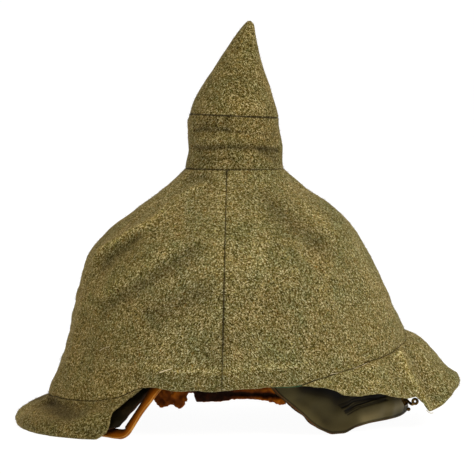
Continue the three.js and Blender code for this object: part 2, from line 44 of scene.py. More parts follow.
def readTable(rows, at, k, level=False):
    # column k at values of the first column, smooth and never past the rows; level makes its ends flat
    rows = np.asarray(rows, float)
    keys, values = rows[:, 0], rows[:, k]
    slope = np.diff(values) / np.diff(keys)
    before, after = slope[:-1], slope[1:]
    turning = before * after <= 0
    tangent = np.zeros(len(rows))
    tangent[1:-1] = np.where(turning, 0, 2 * before * after / np.where(turning, 1, before + after))
    if not level:
        tangent[0], tangent[-1] = slope[0], slope[-1]
    x = np.clip(at, keys[0], keys[-1])
    i = np.clip(np.searchsorted(keys, x) - 1, 0, len(keys) - 2)
    step = keys[i + 1] - keys[i]
    t = (x - keys[i]) / step
    rise = values[i + 1] - values[i]
    a, b = tangent[i] * step, tangent[i + 1] * step
    return values[i] + t * (a + t * (3 * rise - 2 * a - b + t * (a + b - 2 * rise)))


def byAngle(rows, angle, k):
    # the same for a table of angles from the rear that holds on both sides of the helmet
    return readTable(rows, np.abs(wrapped(angle)), k, level=True)


def smoothPath(points, steps):
    # centripetal curve through the points, with that many steps between neighbours
    p = np.asarray(points, float)
    p = np.vstack([2 * p[0] - p[1], p, 2 * p[-1] - p[-2]])
    gap = np.sqrt(np.linalg.norm(np.diff(p, axis=0), axis=1))[:, None]
    p0, p1, p2, p3 = p[:-3], p[1:-2], p[2:-1], p[3:]
    g0, g1, g2 = gap[:-2], gap[1:-1], gap[2:]
    a = ((p1 - p0) / g0 - (p2 - p0) / (g0 + g1) + (p2 - p1) / g1) * g1
    b = ((p2 - p1) / g1 - (p3 - p1) / (g1 + g2) + (p3 - p2) / g2) * g1
    t = (np.arange(steps) / steps)[:, None, None]
    curve = p1 + t * (a + t * (3 * (p2 - p1) - 2 * a - b + t * (a + b - 2 * (p2 - p1))))
    return np.vstack([curve.transpose(1, 0, 2).reshape(-1, p.shape[1]), p[-2]])


def smoothStep(start, end, at):
    t = np.clip((at - start) / (end - start), 0, 1)
    return t * t * (3 - 2 * t)


def bell(at, breadth):
    return np.exp(-(at / breadth) ** 2)


def unit(v, least=1e-9):
    return v / np.maximum(np.linalg.norm(v, axis=-1, keepdims=True), least)


def vectors(*parts):
    # coordinates, each a number or an array, as one array of vectors
    return np.stack(np.broadcast_arrays(*parts), -1)


def wrapped(angle):
    return (angle + 180) % 360 - 180


def turns(count):
    # angles right round
    return 360 * np.arange(count) / count


def swell(points, size, seed, waves=16, spread=(0.6, 1.5)):
    # smooth random rise of about one: waves of this size, some longer and some shorter, added up
    dice = np.random.default_rng(seed)
    way = unit(dice.normal(size=(waves, 3))) * 2 * math.pi / size
    way *= dice.uniform(*spread, (waves, 1))
    phase = dice.uniform(0, 2 * math.pi, waves)
    return np.sin(points @ way.T + phase).sum(-1) / math.sqrt(waves / 2)


def swells(points, rows):
    # sum of such rises, with rows of breadth, height and seed
    return sum(height * swell(points, breadth, seed) for breadth, height, seed in rows)


def alongFolds(angle, down, folds, scale):
    # rise and tone from soft lines of (angle, down), with rows of breadth, rise, tone and line, where the tone
    # paints highlight and shade; scale turns angle and down into millimetres
    here = vectors(wrapped(angle) * scale[0], down * scale[1])
    rise, rubbedAndShaded = np.zeros((2, *here.shape[:-1]))
    for breadth, up, lighter, points in folds:
        line = np.array(points, float) * scale
        near = np.full(rise.shape, np.inf)
        for start, end in zip(line[:-1], line[1:]):
            along = end - start
            t = np.clip((here - start) @ along / (along @ along), 0, 1)
            near = np.minimum(near, np.linalg.norm(here - start - t[..., None] * along, axis=-1))
        soft = bell(near, breadth)
        rise, rubbedAndShaded = rise + up * soft, rubbedAndShaded + lighter * soft
    return rise, rubbedAndShaded


rollShares = np.array([0, 0.03, 0.12, 0.28, 0.55, 1])  # stations on the round of an edge, closest at its end


def crowded(roll, length):
    return roll / length * rollShares


def spaced(count, length, firstRoll, lastRoll):
    # shares of a length, crowded where its two ends roll over
    first, last = crowded(firstRoll, length), 1 - crowded(lastRoll, length)[::-1]
    return np.concatenate([first, np.linspace(first[-1], last[0], count)[1:-1], last])


def stations(part, top, bottom, sides):
    # shares down and across a piece, from its counts and lengths in mm and the rounds of its edges
    down = spaced(part["down"], part["tall"], top, bottom)
    return down[:, None], spaced(part["around"], part["span"], sides, sides)[None]


# Meshes

def gridNormals(grid, ring=False):
    down = np.gradient(grid, axis=0)
    if ring:
        around = np.roll(grid, -1, axis=1) - np.roll(grid, 1, axis=1)
    else:
        around = np.gradient(grid, axis=1)
    return unit(np.cross(down, around))


def gridFaces(index, ring=False, flip=False):
    # faces of four corners between the rows and columns of point numbers
    if ring:
        index = np.concatenate([index, index[..., :1]], axis=-1)
    corners = [index[..., :-1, :-1], index[..., 1:, :-1], index[..., 1:, 1:], index[..., :-1, 1:]]
    return np.stack(corners, -1)[..., [0, 3, 2, 1] if flip else [0, 1, 2, 3]].reshape(-1, 4)


def addPiece(name, points, faces, material, node=None, values=None):
    points[:, 2] = np.maximum(points[:, 2], 0)  # nothing sinks into the floor
    mesh = bpy.data.meshes.new(name)
    mesh.from_pydata((points * mm).tolist(), [], faces)
    for key, numbers in (values or {}).items():
        mesh.attributes.new(key, "FLOAT", "POINT").data.foreach_set("value", numbers.astype(np.float32))
    mesh.shade_smooth()
    mesh.materials.append(material)
    piece = bpy.data.objects.new(name, mesh)
    bpy.context.scene.collection.objects.link(piece)
    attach(piece, "root")
    if node:
        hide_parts(node)
    return piece


def distances(grid):
    # how far each point is along its column from the top and along its row from the first side
    down = np.cumsum(np.linalg.norm(np.diff(grid, axis=0, prepend=grid[:1]), axis=-1), axis=0)
    over = np.cumsum(np.linalg.norm(np.diff(grid, axis=1, prepend=grid[:, :1]), axis=-1), axis=1)
    return down, over


wall = {
    "sewn": 0.4,  # an edge whose round is under this share of the thickness is sewn, not free
    "far": 99.0,  # mm, where no such edge is near
    "lead": 4,  # mm over which a wall turns from its neighbour's direction to its own
}


def rolledEdges(grid, thick, rolls, ring, pole):
    # half thickness, which runs out in a round at each open edge, and how far the nearest free and sewn edges are
    down, over = distances(grid)
    edges = [(down[-1:] - down, "bottom")]
    if not pole:
        edges.append((down, "top"))
    if not ring:
        edges += [(over, "sides"), (over[:, -1:] - over, "sides")]
    share, free, sewn = np.ones(down.shape), np.full(down.shape, wall["far"]), np.full(down.shape, wall["far"])
    for away, key in edges:
        roll = np.broadcast_to(rolls.get(key, thick / 2), away.shape)
        isFree = roll > wall["sewn"] * thick
        share = np.minimum(share, np.sqrt(1 - (1 - np.minimum(away / roll, 1)) ** 2))
        free = np.minimum(free, np.where(isFree, away, wall["far"]))
        sewn = np.minimum(sewn, np.where(isFree, wall["far"], away))
    return share * thick / 2, free, sewn


def addWall(name, outside, thick, material, slot, node, rolls=None, ring=False, pole=False, rise=None,
            values=None, faint=1, lead=None):
    # closed wall behind an outer surface: rise moves that surface along its normal, faint narrows the shade of
    # its seams, and lead is the direction of the wall that its first row is sewn to
    if rise is not None:
        outside = outside + gridNormals(outside, ring) * rise[..., None]
    normal = gridNormals(outside, ring)
    if pole:
        normal[0] = (0, 0, 1)
    if lead is not None:
        follow = 1 - smoothStep(0, wall["lead"], distances(outside)[0])
        normal = unit(normal + (lead - normal) * follow[..., None])
    half, free, sewn = rolledEdges(outside, thick, rolls or {}, ring, pole)
    middle = outside - normal * thick / 2
    layers = np.stack([middle + normal * half[..., None], middle - normal * half[..., None]])
    index = np.arange(layers[..., 0].size).reshape(layers.shape[:3])
    openEdge = np.zeros(outside.shape[:2], bool)  # where the two layers share their points
    openEdge[-1] = True
    openEdge[0] = not pole
    if not ring:
        openEdge[:, [0, -1]] = True
    index[1][openEdge] = index[0][openEdge]
    if pole:
        index[:, 0] = index[:, 0, :1]
    quads = np.concatenate([gridFaces(index[0], ring), gridFaces(index[1], ring, flip=True)])
    used, packed = np.unique(quads, return_inverse=True)
    faces = []
    for face in packed.reshape(-1, 4).tolist():
        corners = list(dict.fromkeys(face))
        if len(corners) > 2:
            faces.append(corners)
    shown = {"rim": free * mm, "sewn": sewn * faint * mm, **(values or {})}
    shown = {key: np.stack([grid, grid]).reshape(-1)[used] for key, grid in shown.items()}
    return addPiece(name, layers.reshape(-1, 3)[used], faces, material, node, shown)


def tubes(paths, radii, sides, across=(0, 0, 1)):
    # closed tubes along paths of equal length, with one radius for each point of a path
    paths = np.asarray(paths, float)
    count, steps = paths.shape[:2]
    along = unit(np.gradient(paths, axis=1))
    first = unit(np.cross(along, np.broadcast_to(np.asarray(across, float), along.shape)))
    second = np.cross(along, first)
    turn = np.arange(sides) * 2 * math.pi / sides
    ring = first[:, :, None] * np.cos(turn)[:, None] + second[:, :, None] * np.sin(turn)[:, None]
    points = paths[:, :, None] + ring * np.broadcast_to(radii, (count, steps))[:, :, None, None]
    index = np.arange(count * steps * sides).reshape(count, steps, sides)
    quads = gridFaces(index, ring=True, flip=True)
    faces = quads.tolist() + index[:, 0, ::-1].tolist() + index[:, -1].tolist()
    return points.reshape(-1, 3), faces


def joined(parts):
    points, faces, start = [], [], 0
    for some, over in parts:
        points.append(some)
        faces += [[start + i for i in face] for face in over]
        start += len(some)
    return np.vstack(points), faces


# Materials

def linear(code):
    # sRGB hex to linear colour with alpha
    parts = [int(code[i:i + 2], 16) / 255 for i in (0, 2, 4)]
    return [c / 12.92 if c <= 0.04045 else ((c + 0.055) / 1.055) ** 2.4 for c in parts] + [1]


def addNode(tree, kind, fields=None, out=0):
    # adds a node and gives one of its outputs; fields are its sockets, by name or number, and its properties,
    # and an output of another node is linked to the socket that it is given for
    node = tree.nodes.new("ShaderNode" + kind)
    for key, value in (fields or {}).items():
        if key == "stops":
            ramp = node.color_ramp.elements
            while len(ramp) < len(value):
                ramp.new(0.5)
            for stop, (place, code) in zip(ramp, value):
                stop.position, stop.color = place, linear(code)
        elif isinstance(value, bpy.types.NodeSocket):
            tree.links.new(value, node.inputs[key])
        elif isinstance(key, int) or key in node.inputs:
            node.inputs[key].default_value = value
        else:
            setattr(node, key, value)
    return node.outputs[out]


def newMaterial(name, surface):
    # material whose Principled shader has these constants
    material = bpy.data.materials.new(name)
    material.use_nodes = True
    for key, value in surface.items():
        material.node_tree.nodes["Principled BSDF"].inputs[key].default_value = value
    return material, material.node_tree


def linked(material, sources):
    # the material, with these outputs linked to its shader
    tree = material.node_tree
    for key, source in sources.items():
        tree.links.new(source, tree.nodes["Principled BSDF"].inputs[key])
    return material


def edgeStrip(tree, place, attribute, width, waver, detail, ramp):
    # share of a strip along an edge: the mesh's distance to that edge over a width that wavers, widths in mm;
    # the noise is about a half, so it is doubled
    away = addNode(tree, "Attribute", {"attribute_name": attribute}, "Fac")
    uneven = addNode(tree, "TexNoise", {"Scale": 1 / (waver * mm), "Detail": detail, "Vector": place})
    reach = addNode(tree, "Math", {"operation": "MULTIPLY", 0: uneven, 1: 2 * width * mm})
    ratio = addNode(tree, "Math", {"operation": "DIVIDE", 0: away, 1: reach})
    return addNode(tree, "MapRange", {**ramp, "Value": ratio})


wool = {
    "grain": 0.9,  # mm, the float of a yarn, drawn about twice as coarse as real to show
    "nep": 1.5, "dyeLot": 2.6,  # mm, knots of dyed fibre and how far one dye reaches, drawn coarser to show
    "patch": 26,  # mm, uneven dye and wear
    "relief": 0.5,  # mm
    "tones": [(0.394, "190e00"), (0.448, "483b04"), (0.505, "72663a"), (0.553, "aea689"), (0.614, "fbf8ff")],
    "neps": [(0.37, "8c6a36"), (0.46, "dcd2a8"), (0.55, "6c7048"), (0.64, "4a5430")],
    # place of the side seams in mm, degrees by which the yarn lies aslant, and how much longer it runs that way
    "lay": {"seam": -9, "turn": 45, "drawn": (1.32, 1, 0.86)},
    "seam": {"width": 0.9, "waver": 7, "left": 0.15},  # mm of shade and dirt at a sewn edge, mm, light left there
    "drift": [(0.3, "b1bb93"), (0.5, "cfcda4"), (0.7, "e0d6a8")],
    # the front and the spike meet the weather first and are browner: mm along X, mm up, share on the spike
    "aged": {"front": (-35, -95), "spike": (165, 180), "share": 0.7, "cast": "fff5e3"},
    "fray": {"width": 1.3, "share": 0.18, "colour": "a89a66"},  # mm of paler fibre along a free edge
}


def woolMaterial():
    # milled woollen cloth, woven of mixed dyed yarn and raised: dull and speckled, with a soft bloom at its edges
    material, tree = newMaterial("milledWool", {
        "Roughness": 0.95, "Specular IOR Level": 0.12, "Sheen Weight": 0.2, "Sheen Roughness": 0.6,
        "Sheen Tint": linear("b8a264")})
    lay, seam, aged, fray = wool["lay"], wool["seam"], wool["aged"], wool["fray"]
    multiply = {"data_type": "RGBA", "blend_type": "MULTIPLY", 0: 1.0}  # 6 and 7 are a Mix's colours in, 2 is out
    place = addNode(tree, "TexCoord", out="Object")
    x, y, z = addNode(tree, "SeparateXYZ", {"Vector": place}).node.outputs
    # the two halves of the cover are cut the other way round, so the lay turns over at the side seams
    aside = addNode(tree, "Math", {"operation": "SUBTRACT", 0: x, 1: lay["seam"] * mm})
    away = addNode(tree, "Math", {"operation": "ABSOLUTE", 0: aside})
    halves = addNode(tree, "CombineXYZ", {0: away, 1: y, 2: z})
    slanted = addNode(tree, "Mapping", {"vector_type": "TEXTURE", "Rotation": (0, math.radians(lay["turn"]), 0),
                                        "Scale": lay["drawn"], "Vector": halves})
    fine = addNode(tree, "TexNoise", {"Scale": 1 / (wool["grain"] * mm), "Detail": 4, "Roughness": 0.75,
                                      "Distortion": 0.6, "Vector": slanted})
    tone = addNode(tree, "ValToRGB", {"stops": wool["tones"], "Fac": fine})
    spots = addNode(tree, "TexNoise", {"Scale": 1 / (wool["nep"] * mm), "Detail": 1, "Distortion": 0.4,
                                       "Vector": place})
    nep = addNode(tree, "MapRange", {"From Min": 0.65, "From Max": 0.71, "To Min": 0.12, "Value": spots})
    kind = addNode(tree, "TexNoise", {"Scale": 1 / (wool["dyeLot"] * mm), "Detail": 1, "Vector": place})
    dye = addNode(tree, "ValToRGB", {"stops": wool["neps"], "Fac": kind})
    flecked = addNode(tree, "Mix", {"data_type": "RGBA", 0: nep, 6: tone, 7: dye}, 2)
    patch = addNode(tree, "TexNoise", {"Scale": 1 / (wool["patch"] * mm), "Detail": 4, "Roughness": 0.7,
                                       "Distortion": 0.6, "Vector": place})
    drift = addNode(tree, "ValToRGB", {"stops": wool["drift"], "Fac": patch})
    faded = addNode(tree, "Mix", {**multiply, 6: flecked, 7: drift}, 2)
    front = addNode(tree, "MapRange", {"From Min": aged["front"][0] * mm, "From Max": aged["front"][1] * mm,
                                       "Value": x})
    spike = addNode(tree, "MapRange", {"From Min": aged["spike"][0] * mm, "From Max": aged["spike"][1] * mm,
                                       "To Max": aged["share"], "Value": z})
    weather = addNode(tree, "Math", {"operation": "MAXIMUM", 0: front, 1: spike})
    weathered = addNode(tree, "Mix", {**multiply, 0: weather, 6: faded, 7: linear(aged["cast"])}, 2)
    # the mesh's own tone brightens and darkens the cloth: painted highlight and shade of its folds and pieces, with
    # some wear; the strip along sewn edges is painted shade and dirt
    own = addNode(tree, "Attribute", {"attribute_name": "worn"}, "Fac")
    share = addNode(tree, "MapRange", {"From Min": -1.0, "To Max": 2.0, "Value": own})
    sunk = edgeStrip(tree, place, "sewn", seam["width"], seam["waver"], 3,
                     {"From Min": 0.25, "To Min": seam["left"]})
    level = addNode(tree, "Math", {"operation": "MULTIPLY", 0: share, 1: sunk})
    rubbedAndShaded = addNode(tree, "Mix", {**multiply, 6: weathered, 7: level}, 2)
    rim = addNode(tree, "Attribute", {"attribute_name": "rim"}, "Fac")
    frayed = addNode(tree, "MapRange", {"From Max": fray["width"] * mm, "To Min": fray["share"], "To Max": 0.0,
                                        "Value": rim})
    colour = addNode(tree, "Mix", {"data_type": "RGBA", 0: frayed, 6: rubbedAndShaded, 7: linear(fray["colour"])}, 2)
    bump = addNode(tree, "Bump", {"Strength": 0.8, "Distance": wool["relief"] * mm, "Height": fine})
    return linked(material, {"Base Color": colour, "Normal": bump})


hide = {
    "blotch": 12, "waver": 5,  # mm, stains and wear, and the waver of a raw edge
    "crack": 0.6, "cracked": 0.7,  # size of the fine cracks as a share of the grain's, and their relief
    "gloss": 0.12,  # how far the roughness goes up and down with the stains
}


def leatherMaterial(name, surface, colours, grain, relief, edge=None, blotches=None):
    # tanned hide: pebbled grain with fine cracks, sizes in mm; edge colours the raw cut along the rim, and
    # with blotches given the colours follow the mesh's own wear and painted shade, and the blotches only by that
    # share
    material, tree = newMaterial(name, surface)
    place = addNode(tree, "TexCoord", out="Object")
    blotch = addNode(tree, "TexNoise", {"Scale": 1 / (hide["blotch"] * mm), "Detail": 6, "Roughness": 0.68,
                                        "Vector": place})
    level = blotch
    if blotches:
        own = addNode(tree, "Attribute", {"attribute_name": "worn"}, "Fac")
        level = addNode(tree, "Math", {"operation": "MULTIPLY_ADD", 0: blotch, 1: blotches, 2: own})
    colour = addNode(tree, "ValToRGB", {"stops": colours, "Fac": level})
    if edge:
        cut = edgeStrip(tree, place, "rim", edge["width"], hide["waver"], 4,
                        {"From Min": 0.4, "To Min": 1.0, "To Max": 0.0})
        colour = addNode(tree, "Mix", {"data_type": "RGBA", 0: cut, 6: colour, 7: linear(edge["colour"])}, 2)
    pebble = addNode(tree, "TexVoronoi", {"Scale": 1 / (grain * mm), "feature": "DISTANCE_TO_EDGE",
                                          "Vector": place})
    crack = addNode(tree, "TexNoise", {"Scale": 1 / (hide["crack"] * grain * mm), "Detail": 4, "Vector": place})
    height = addNode(tree, "Math", {"operation": "MULTIPLY_ADD", 0: crack, 1: hide["cracked"], 2: pebble})
    bump = addNode(tree, "Bump", {"Strength": 0.5, "Distance": relief * mm, "Height": height})
    rough = addNode(tree, "MapRange", {"To Min": surface["Roughness"] - hide["gloss"],
                                       "To Max": surface["Roughness"] + hide["gloss"], "Value": blotch})
    return linked(material, {"Base Color": colour, "Normal": bump, "Roughness": rough})


brass = {"tones": [(0.42, "2a2014"), (0.62, "8a6a34")], "stain": 2.5, "relief": 0.1}  # sizes in mm


def brassMaterial():
    # cast brass gone dark with age: brown skin, with a little yellow where it is rubbed
    material, tree = newMaterial("agedBrass", {"Metallic": 1.0})
    place = addNode(tree, "TexCoord", out="Object")
    stain = addNode(tree, "TexNoise", {"Scale": 1 / (brass["stain"] * mm), "Detail": 6, "Roughness": 0.7,
                                       "Vector": place})
    tone = addNode(tree, "ValToRGB", {"stops": brass["tones"], "Fac": stain})
    rough = addNode(tree, "MapRange", {"To Min": 0.55, "To Max": 0.25, "Value": stain})
    bump = addNode(tree, "Bump", {"Strength": 0.3, "Distance": brass["relief"] * mm, "Height": stain})
    return linked(material, {"Base Color": tone, "Roughness": rough, "Normal": bump})


def fibreMaterial(name, stops):
    # spun or loose fibre: dull, and each strand has its own shade
    material, tree = newMaterial(name, {"Roughness": 0.8, "Specular IOR Level": 0.2})
    own = addNode(tree, "Attribute", {"attribute_name": "shade"}, "Fac")
    return linked(material, {"Base Color": addNode(tree, "ValToRGB", {"stops": stops, "Fac": own})})


milledWool = woolMaterial()
lacquered = {"Roughness": 0.55, "Specular IOR Level": 0.07, "IOR": 1.5}
dryHide = {"Roughness": 0.7, "Specular IOR Level": 0.05, "IOR": 1.5}
polished = {"Roughness": 0.5, "Specular IOR Level": 0.1, "IOR": 1.5}
# smooth hide under old black lacquer: nearly black, with a broad weak gloss and a brown cut
blackLacquer = leatherMaterial("blackLacqueredLeather", lacquered,
                               [(0.35, "0c0a03"), (0.55, "161105"), (0.75, "2a1d0b")],
                               1.1, 0.2, {"colour": "2c1809", "width": 0.7})
# the same lacquer faded and creased: dull olive, with painted black shade in its creases and under the cover's hem
oliveLacquer = leatherMaterial("oliveLacqueredLeather", lacquered,
                               [(0.1, "080501"), (0.35, "241e0d"), (0.6, "474026"), (0.9, "7f7350")],
                               1.0, 0.2, {"colour": "4c2c10", "width": 1.1}, 0.1)
# undyed hide, moulded wet: flat dark brown
skullHide = leatherMaterial("undyedSkullLeather", dryHide,
                            [(0.3, "1d160d"), (0.5, "2e2215"), (0.75, "4a3620")], 1.4, 0.2)
# thin hide, dried out and torn: rust brown, light where it flakes, with painted shade and highlight on its folds
# and crumples, and an orange line along its torn edge, partly raw cut and partly painted highlight
bandHide = leatherMaterial("drySweatbandLeather", dryHide,
                           [(0.15, "160700"), (0.32, "3a1703"), (0.5, "5e2d05"), (0.7, "924f08"), (0.9, "b06c1a")],
                           1.3, 0.3, {"colour": "8a4a0e", "width": 0.5}, 0.4)
# harness leather, creased and polished by wear: warm tan, darkened towards its inner edge as painted shade, with a
# light line along its outer edge, partly polish and partly painted highlight
strapHide = leatherMaterial("harnessStrapLeather", polished,
                            [(0.075, "844d12"), (0.1, "b07c36"), (0.14, "8c5004"), (0.38, "7c3f00"),
                             (0.5, "5e3000"), (0.72, "402000"), (0.84, "1a0b00")], 0.9, 0.1, None, 0.15)
darkBrass = brassMaterial()
woolFibre = fibreMaterial("strayWoolFibre",
                          [(0.0, "3a3014"), (0.5, "786c40"), (0.85, "a99e6e"), (1.0, "d0c598")])
linenThread = fibreMaterial("linenThread", [(0.0, "8a7f5a"), (1.0, "ddd3b2")])
greenTape = fibreMaterial("greenCottonTape", [(0.0, "1a3a1c"), (1.0, "38583a")])
print("materials made")


# Crown of the cover

neckHeight = 172
clothThick = 2.2
seamRoll = 0.3  # round of an edge that is sewn to its neighbour
hemRoll = clothThick / 2
ridgeLayers = [(3.4, 1.6, 0.22), (1.1, 0.4, 0.3)]  # breadth, rise, share painted lighter as a highlight, for a sharp ridge
ridgeLine = [(-155, 120), (-148, 125), (-144, 132), (-135, 139), (-136, 148), (-137, 152), (-130, 159), (-116, 163)]
crown = {
    # height, front, rear, half width
    "sections": [(14, -131.5, 127.5, 92.5), (22, -128, 126, 92.5), (40, -121.9, 121, 91.5),
                 (60, -115.2, 115, 90), (80, -111.6, 105, 87.5), (105, -104.8, 94.2, 82), (114, -101.6, 89.6, 79),
                 (122, -96, 85, 75.5), (133, -83.8, 77.2, 68), (148, -64.4, 61.8, 55.5), (160, -48.6, 44, 44.5),
                 (172, -35.8, 31, 33.6)],
    # height, place of the side seams along X
    "sideSeam": [(30, -10.5), (170, -7.6)],
    # angle from the rear, height of the lower edge, round of that edge
    "edge": [(0, 61.6, 0.3), (8, 59.6, 0.3), (16, 56.6, 0.3), (22, 54.6, 0.3), (33, 50.8, 0.3), (44, 47.2, 0.3),
             (52, 43.8, 0.3), (58, 42, 0.3), (62, 39.8, 0.3), (66, 37.6, 0.3), (70, 35.5, 0.3), (72, 34.9, 1.1),
             (78, 34.5, 1.1), (88, 33.4, 1.1), (95, 31.9, 1.1), (108, 31.9, 1.1), (114, 33, 1.1),
             (117.5, 32.8, 1.1), (119.8, 32.2, 0.1), (128, 25.4, 0.1), (137, 21.6, 0.35), (150, 20, 0.35),
             (165, 19.5, 0.35), (180, 18.8, 0.35)],
    # breadth, rise, share lighter, negative for darker: painted highlight and shade with a little wear, line of
    # (angle, height)
    "folds": [(6.5, 3, 0.06, [(-157, 116), (-132, 147)]), (9, -1.6, -0.06, [(-150, 106), (-138, 118)]),
              (8, 1.8, 0, [(-158, 88), (-160, 46)]), (9, 1.2, 0, [(-12, 146), (-34, 126)]),
              (12, -0.9, 0, [(-38, 104), (-46, 62)]), (9, 2.2, 0, [(152, 114), (128, 142)]),
              (10, 1.8, 0, [(24, 140), (40, 112)]),
              (7, 1.6, 0, [(-178, 134), (-168, 142), (-160, 147)]), (6, 1, 0, [(-10, 163), (8, 163)]),
              (7, 1.2, 0, [(-176, 26), (-168, 30)]),
              *((*layer, ridgeLine) for layer in ridgeLayers),
              (6, -1.8, -0.46, [(-151, 109), (-144, 118), (-138, 127)]),
              (6.5, -1.7, -0.4, [(-142, 82), (-131, 92), (-121, 103), (-107, 119)]),
              (5, 1.3, 0.2, [(-145, 91), (-126, 108), (-113, 123)]),
              (8, -1.3, -0.38, [(-119, 79), (-110, 87), (-101, 94)]),
              (9, -1.8, -0.38, [(-67, 148), (-58, 137), (-49, 124)]),
              (6, 1, 0.24, [(-43, 151), (-40, 143), (-37, 135)]),
              (5, -1.4, -0.36, [(-144, 166), (-131, 166), (-115, 166)]),
              (9, -0.9, -0.2, [(-98, 58), (-92, 66)]), (6, 0.8, 0.08, [(-80, 120), (-70, 95), (-66, 70)]),
              (9, 0, 0.14, [(-80, 140), (-79, 114)]), (14, 0, 0.12, [(-22, 120), (-20, 90)]),
              (9, 0, 0.2, [(-96, 158), (-93, 114)]), (15, 0, -0.14, [(-76, 90), (-64, 66)]),
              (14, 0, -0.13, [(-152, 58), (-132, 48)]),
              (5, -1.1, -0.2, [(118, 84), (136, 104), (146, 120)]), (6, -1, -0.2, [(60, 140), (74, 118), (80, 96)]),
              (5, 1, 0.15, [(98, 70), (112, 92), (120, 112)]), (6, -0.9, -0.2, [(30, 92), (44, 70)])],
    # the side seams pull the cloth in and are painted darker there as shade
    "seam": {"breadth": 1.7, "rise": -0.4, "rubbedAndShaded": -0.16},  # pull of the side seams
    # height, how much narrower the shade of a seam is there
    "seamShade": [(17, 1.2), (21.2, 1.2), (22.6, 2), (25, 6), (33, 6), (36, 2.4), (56, 2.2), (66, 1.25),
                  (100, 1.15), (124, 1.7), (160, 2.4), (170, 1.2), (172, 1)],
    "clothPerDegree": 1.55,  # mm of cloth in a degree of turn at the shoulders
    "swells": [(46, 0.22, 3), (17, 0.2, 4), (6.5, 0.1, 5)],  # breadth, height, seed
    "waver": [(12, 0.22, 6)],  # the same for the uneven lower edge
    "neckFade": 8,  # mm below the neck over which the folds run out
    # hem turned up inside at the ears: angles where it starts, is whole, fades and ends; its depth, and the mm
    # about that over which the doubled cloth ends; strength and breadth of the stitched groove; strength, breadth
    # and mm above the groove of a pale line, a painted highlight along the top of the doubled cloth; the darker
    # strip below
    "hem": {"open": (64, 74, 116, 124), "deep": 12.2, "ends": (-1.5, 0.5), "doubled": 0.8,
            "stitched": (-0.5, 1.1), "hemHighlight": (0.34, 2, 0.8), "dull": -0.15},
    "around": 180, "span": 290, "down": 96, "tall": 140,  # stations each way and the mm that they cover
}
turnStep = 0.5  # degrees to either side when a direction is measured


def ovalPoint(sections, angle, z):
    front, rear = readTable(sections, z, 1), readTable(sections, z, 2)
    half = readTable(sections, z, 3) if len(sections[0]) > 3 else (rear - front) / 2
    a = np.radians(angle)
    x = (front + rear) / 2 + (rear - front) / 2 * np.cos(a)
    return vectors(x, half * np.sin(a), z)


def ovalOut(sections, angle, z):
    along = ovalPoint(sections, angle + turnStep, z) - ovalPoint(sections, angle - turnStep, z)
    return unit(vectors(along[..., 1], -along[..., 0], 0))


def crownEdge(angle):
    uneven = swells(vectors(wrapped(angle) * crown["clothPerDegree"], 0, 0), crown["waver"])
    return byAngle(crown["edge"], angle, 1) + uneven


def edgeRoll(angle):
    return byAngle(crown["edge"], angle, 2)


def alongHem(angle, z):
    # rise and tone of the open hem, where the cloth is turned up inside and stitched; its pale line is a painted
    # highlight
    hem = crown["hem"]
    starts, whole, fades, ends = hem["open"]
    groove, grooveBreadth = hem["stitched"]
    hemHighlight, highlightBreadth, highlightUp = hem["hemHighlight"]
    away, above = np.abs(wrapped(angle)), z - crownEdge(angle) - hem["deep"]
    shown = smoothStep(starts, whole, away) * smoothStep(ends, fades, away)
    doubled = 1 - smoothStep(*hem["ends"], above)
    rise = hem["doubled"] * doubled + groove * bell(above, grooveBreadth)
    rubbedAndShaded = hem["dull"] * doubled + hemHighlight * bell(above - highlightUp, highlightBreadth)
    return rise * shown, rubbedAndShaded * shown


def crownFolds(angle, z):
    return alongFolds(angle, z, crown["folds"], (crown["clothPerDegree"], 1))


def crownPoint(angle, z):
    plain = ovalPoint(crown["sections"], angle, z)
    rise = crownFolds(angle, z)[0] + swells(plain, crown["swells"])
    rise = rise * smoothStep(neckHeight, neckHeight - crown["neckFade"], z) + alongHem(angle, z)[0]
    return plain + ovalOut(crown["sections"], angle, z) * rise[..., None]


def crownNormal(angle, z):
    around = crownPoint(angle + turnStep, z) - crownPoint(angle - turnStep, z)
    return unit(np.cross(around, crownPoint(angle, z + 1) - crownPoint(angle, z)))


def seamTurn(z):
    # angle of the side seams at a height
    front, rear = readTable(crown["sections"], z, 1), readTable(crown["sections"], z, 2)
    return np.degrees(np.arccos((2 * readTable(crown["sideSeam"], z, 1) - front - rear) / (rear - front)))


clothSurfaces = []  # outer surface of each cloth piece, for its nap


def addCloth(name, outside, node, rise, rubbedAndShaded, **form):
    # the cloth's own tone: painted highlight and shade from its folds and pieces, besides wear
    worn, ring = rubbedAndShaded + np.zeros(outside.shape[:2]), form.get("ring", False)
    clothSurfaces.append((outside + gridNormals(outside, ring) * rise[..., None], ring))
    return addWall(name, outside, clothThick, milledWool, "wool_cloth", node, rise=rise, values={"worn": worn},
                   **form)


def addPanel(name, node, middle, halfTurn):
    v, u = stations(crown, seamRoll, hemRoll, seamRoll)
    below = middle + halfTurn(crown["sections"][0][0]) * (2 * u - 1)
    z = neckHeight + (crownEdge(below) - neckHeight) * v
    angle = middle + halfTurn(z) * (2 * u - 1)
    grid = crownPoint(angle, z)
    over, seam = distances(grid)[1], crown["seam"]
    pull = bell(np.minimum(over, over[:, -1:] - over), seam["breadth"])
    rubbedAndShaded = crownFolds(angle, z)[1] + alongHem(angle, z)[1] + seam["rubbedAndShaded"] * pull
    return addCloth(name, grid, node, seam["rise"] * pull, rubbedAndShaded, faint=readTable(crown["seamShade"], z, 1),
                    rolls={"top": seamRoll, "sides": seamRoll, "bottom": edgeRoll(below)})


frontPanel = addPanel("crownFrontPanel", "cover_front_panel", 180, lambda z: 180 - seamTurn(z))
rearPanel = addPanel("crownRearPanel", "cover_rear_panel", 0, seamTurn)
print("crown panels made")


# Flaps of the cover

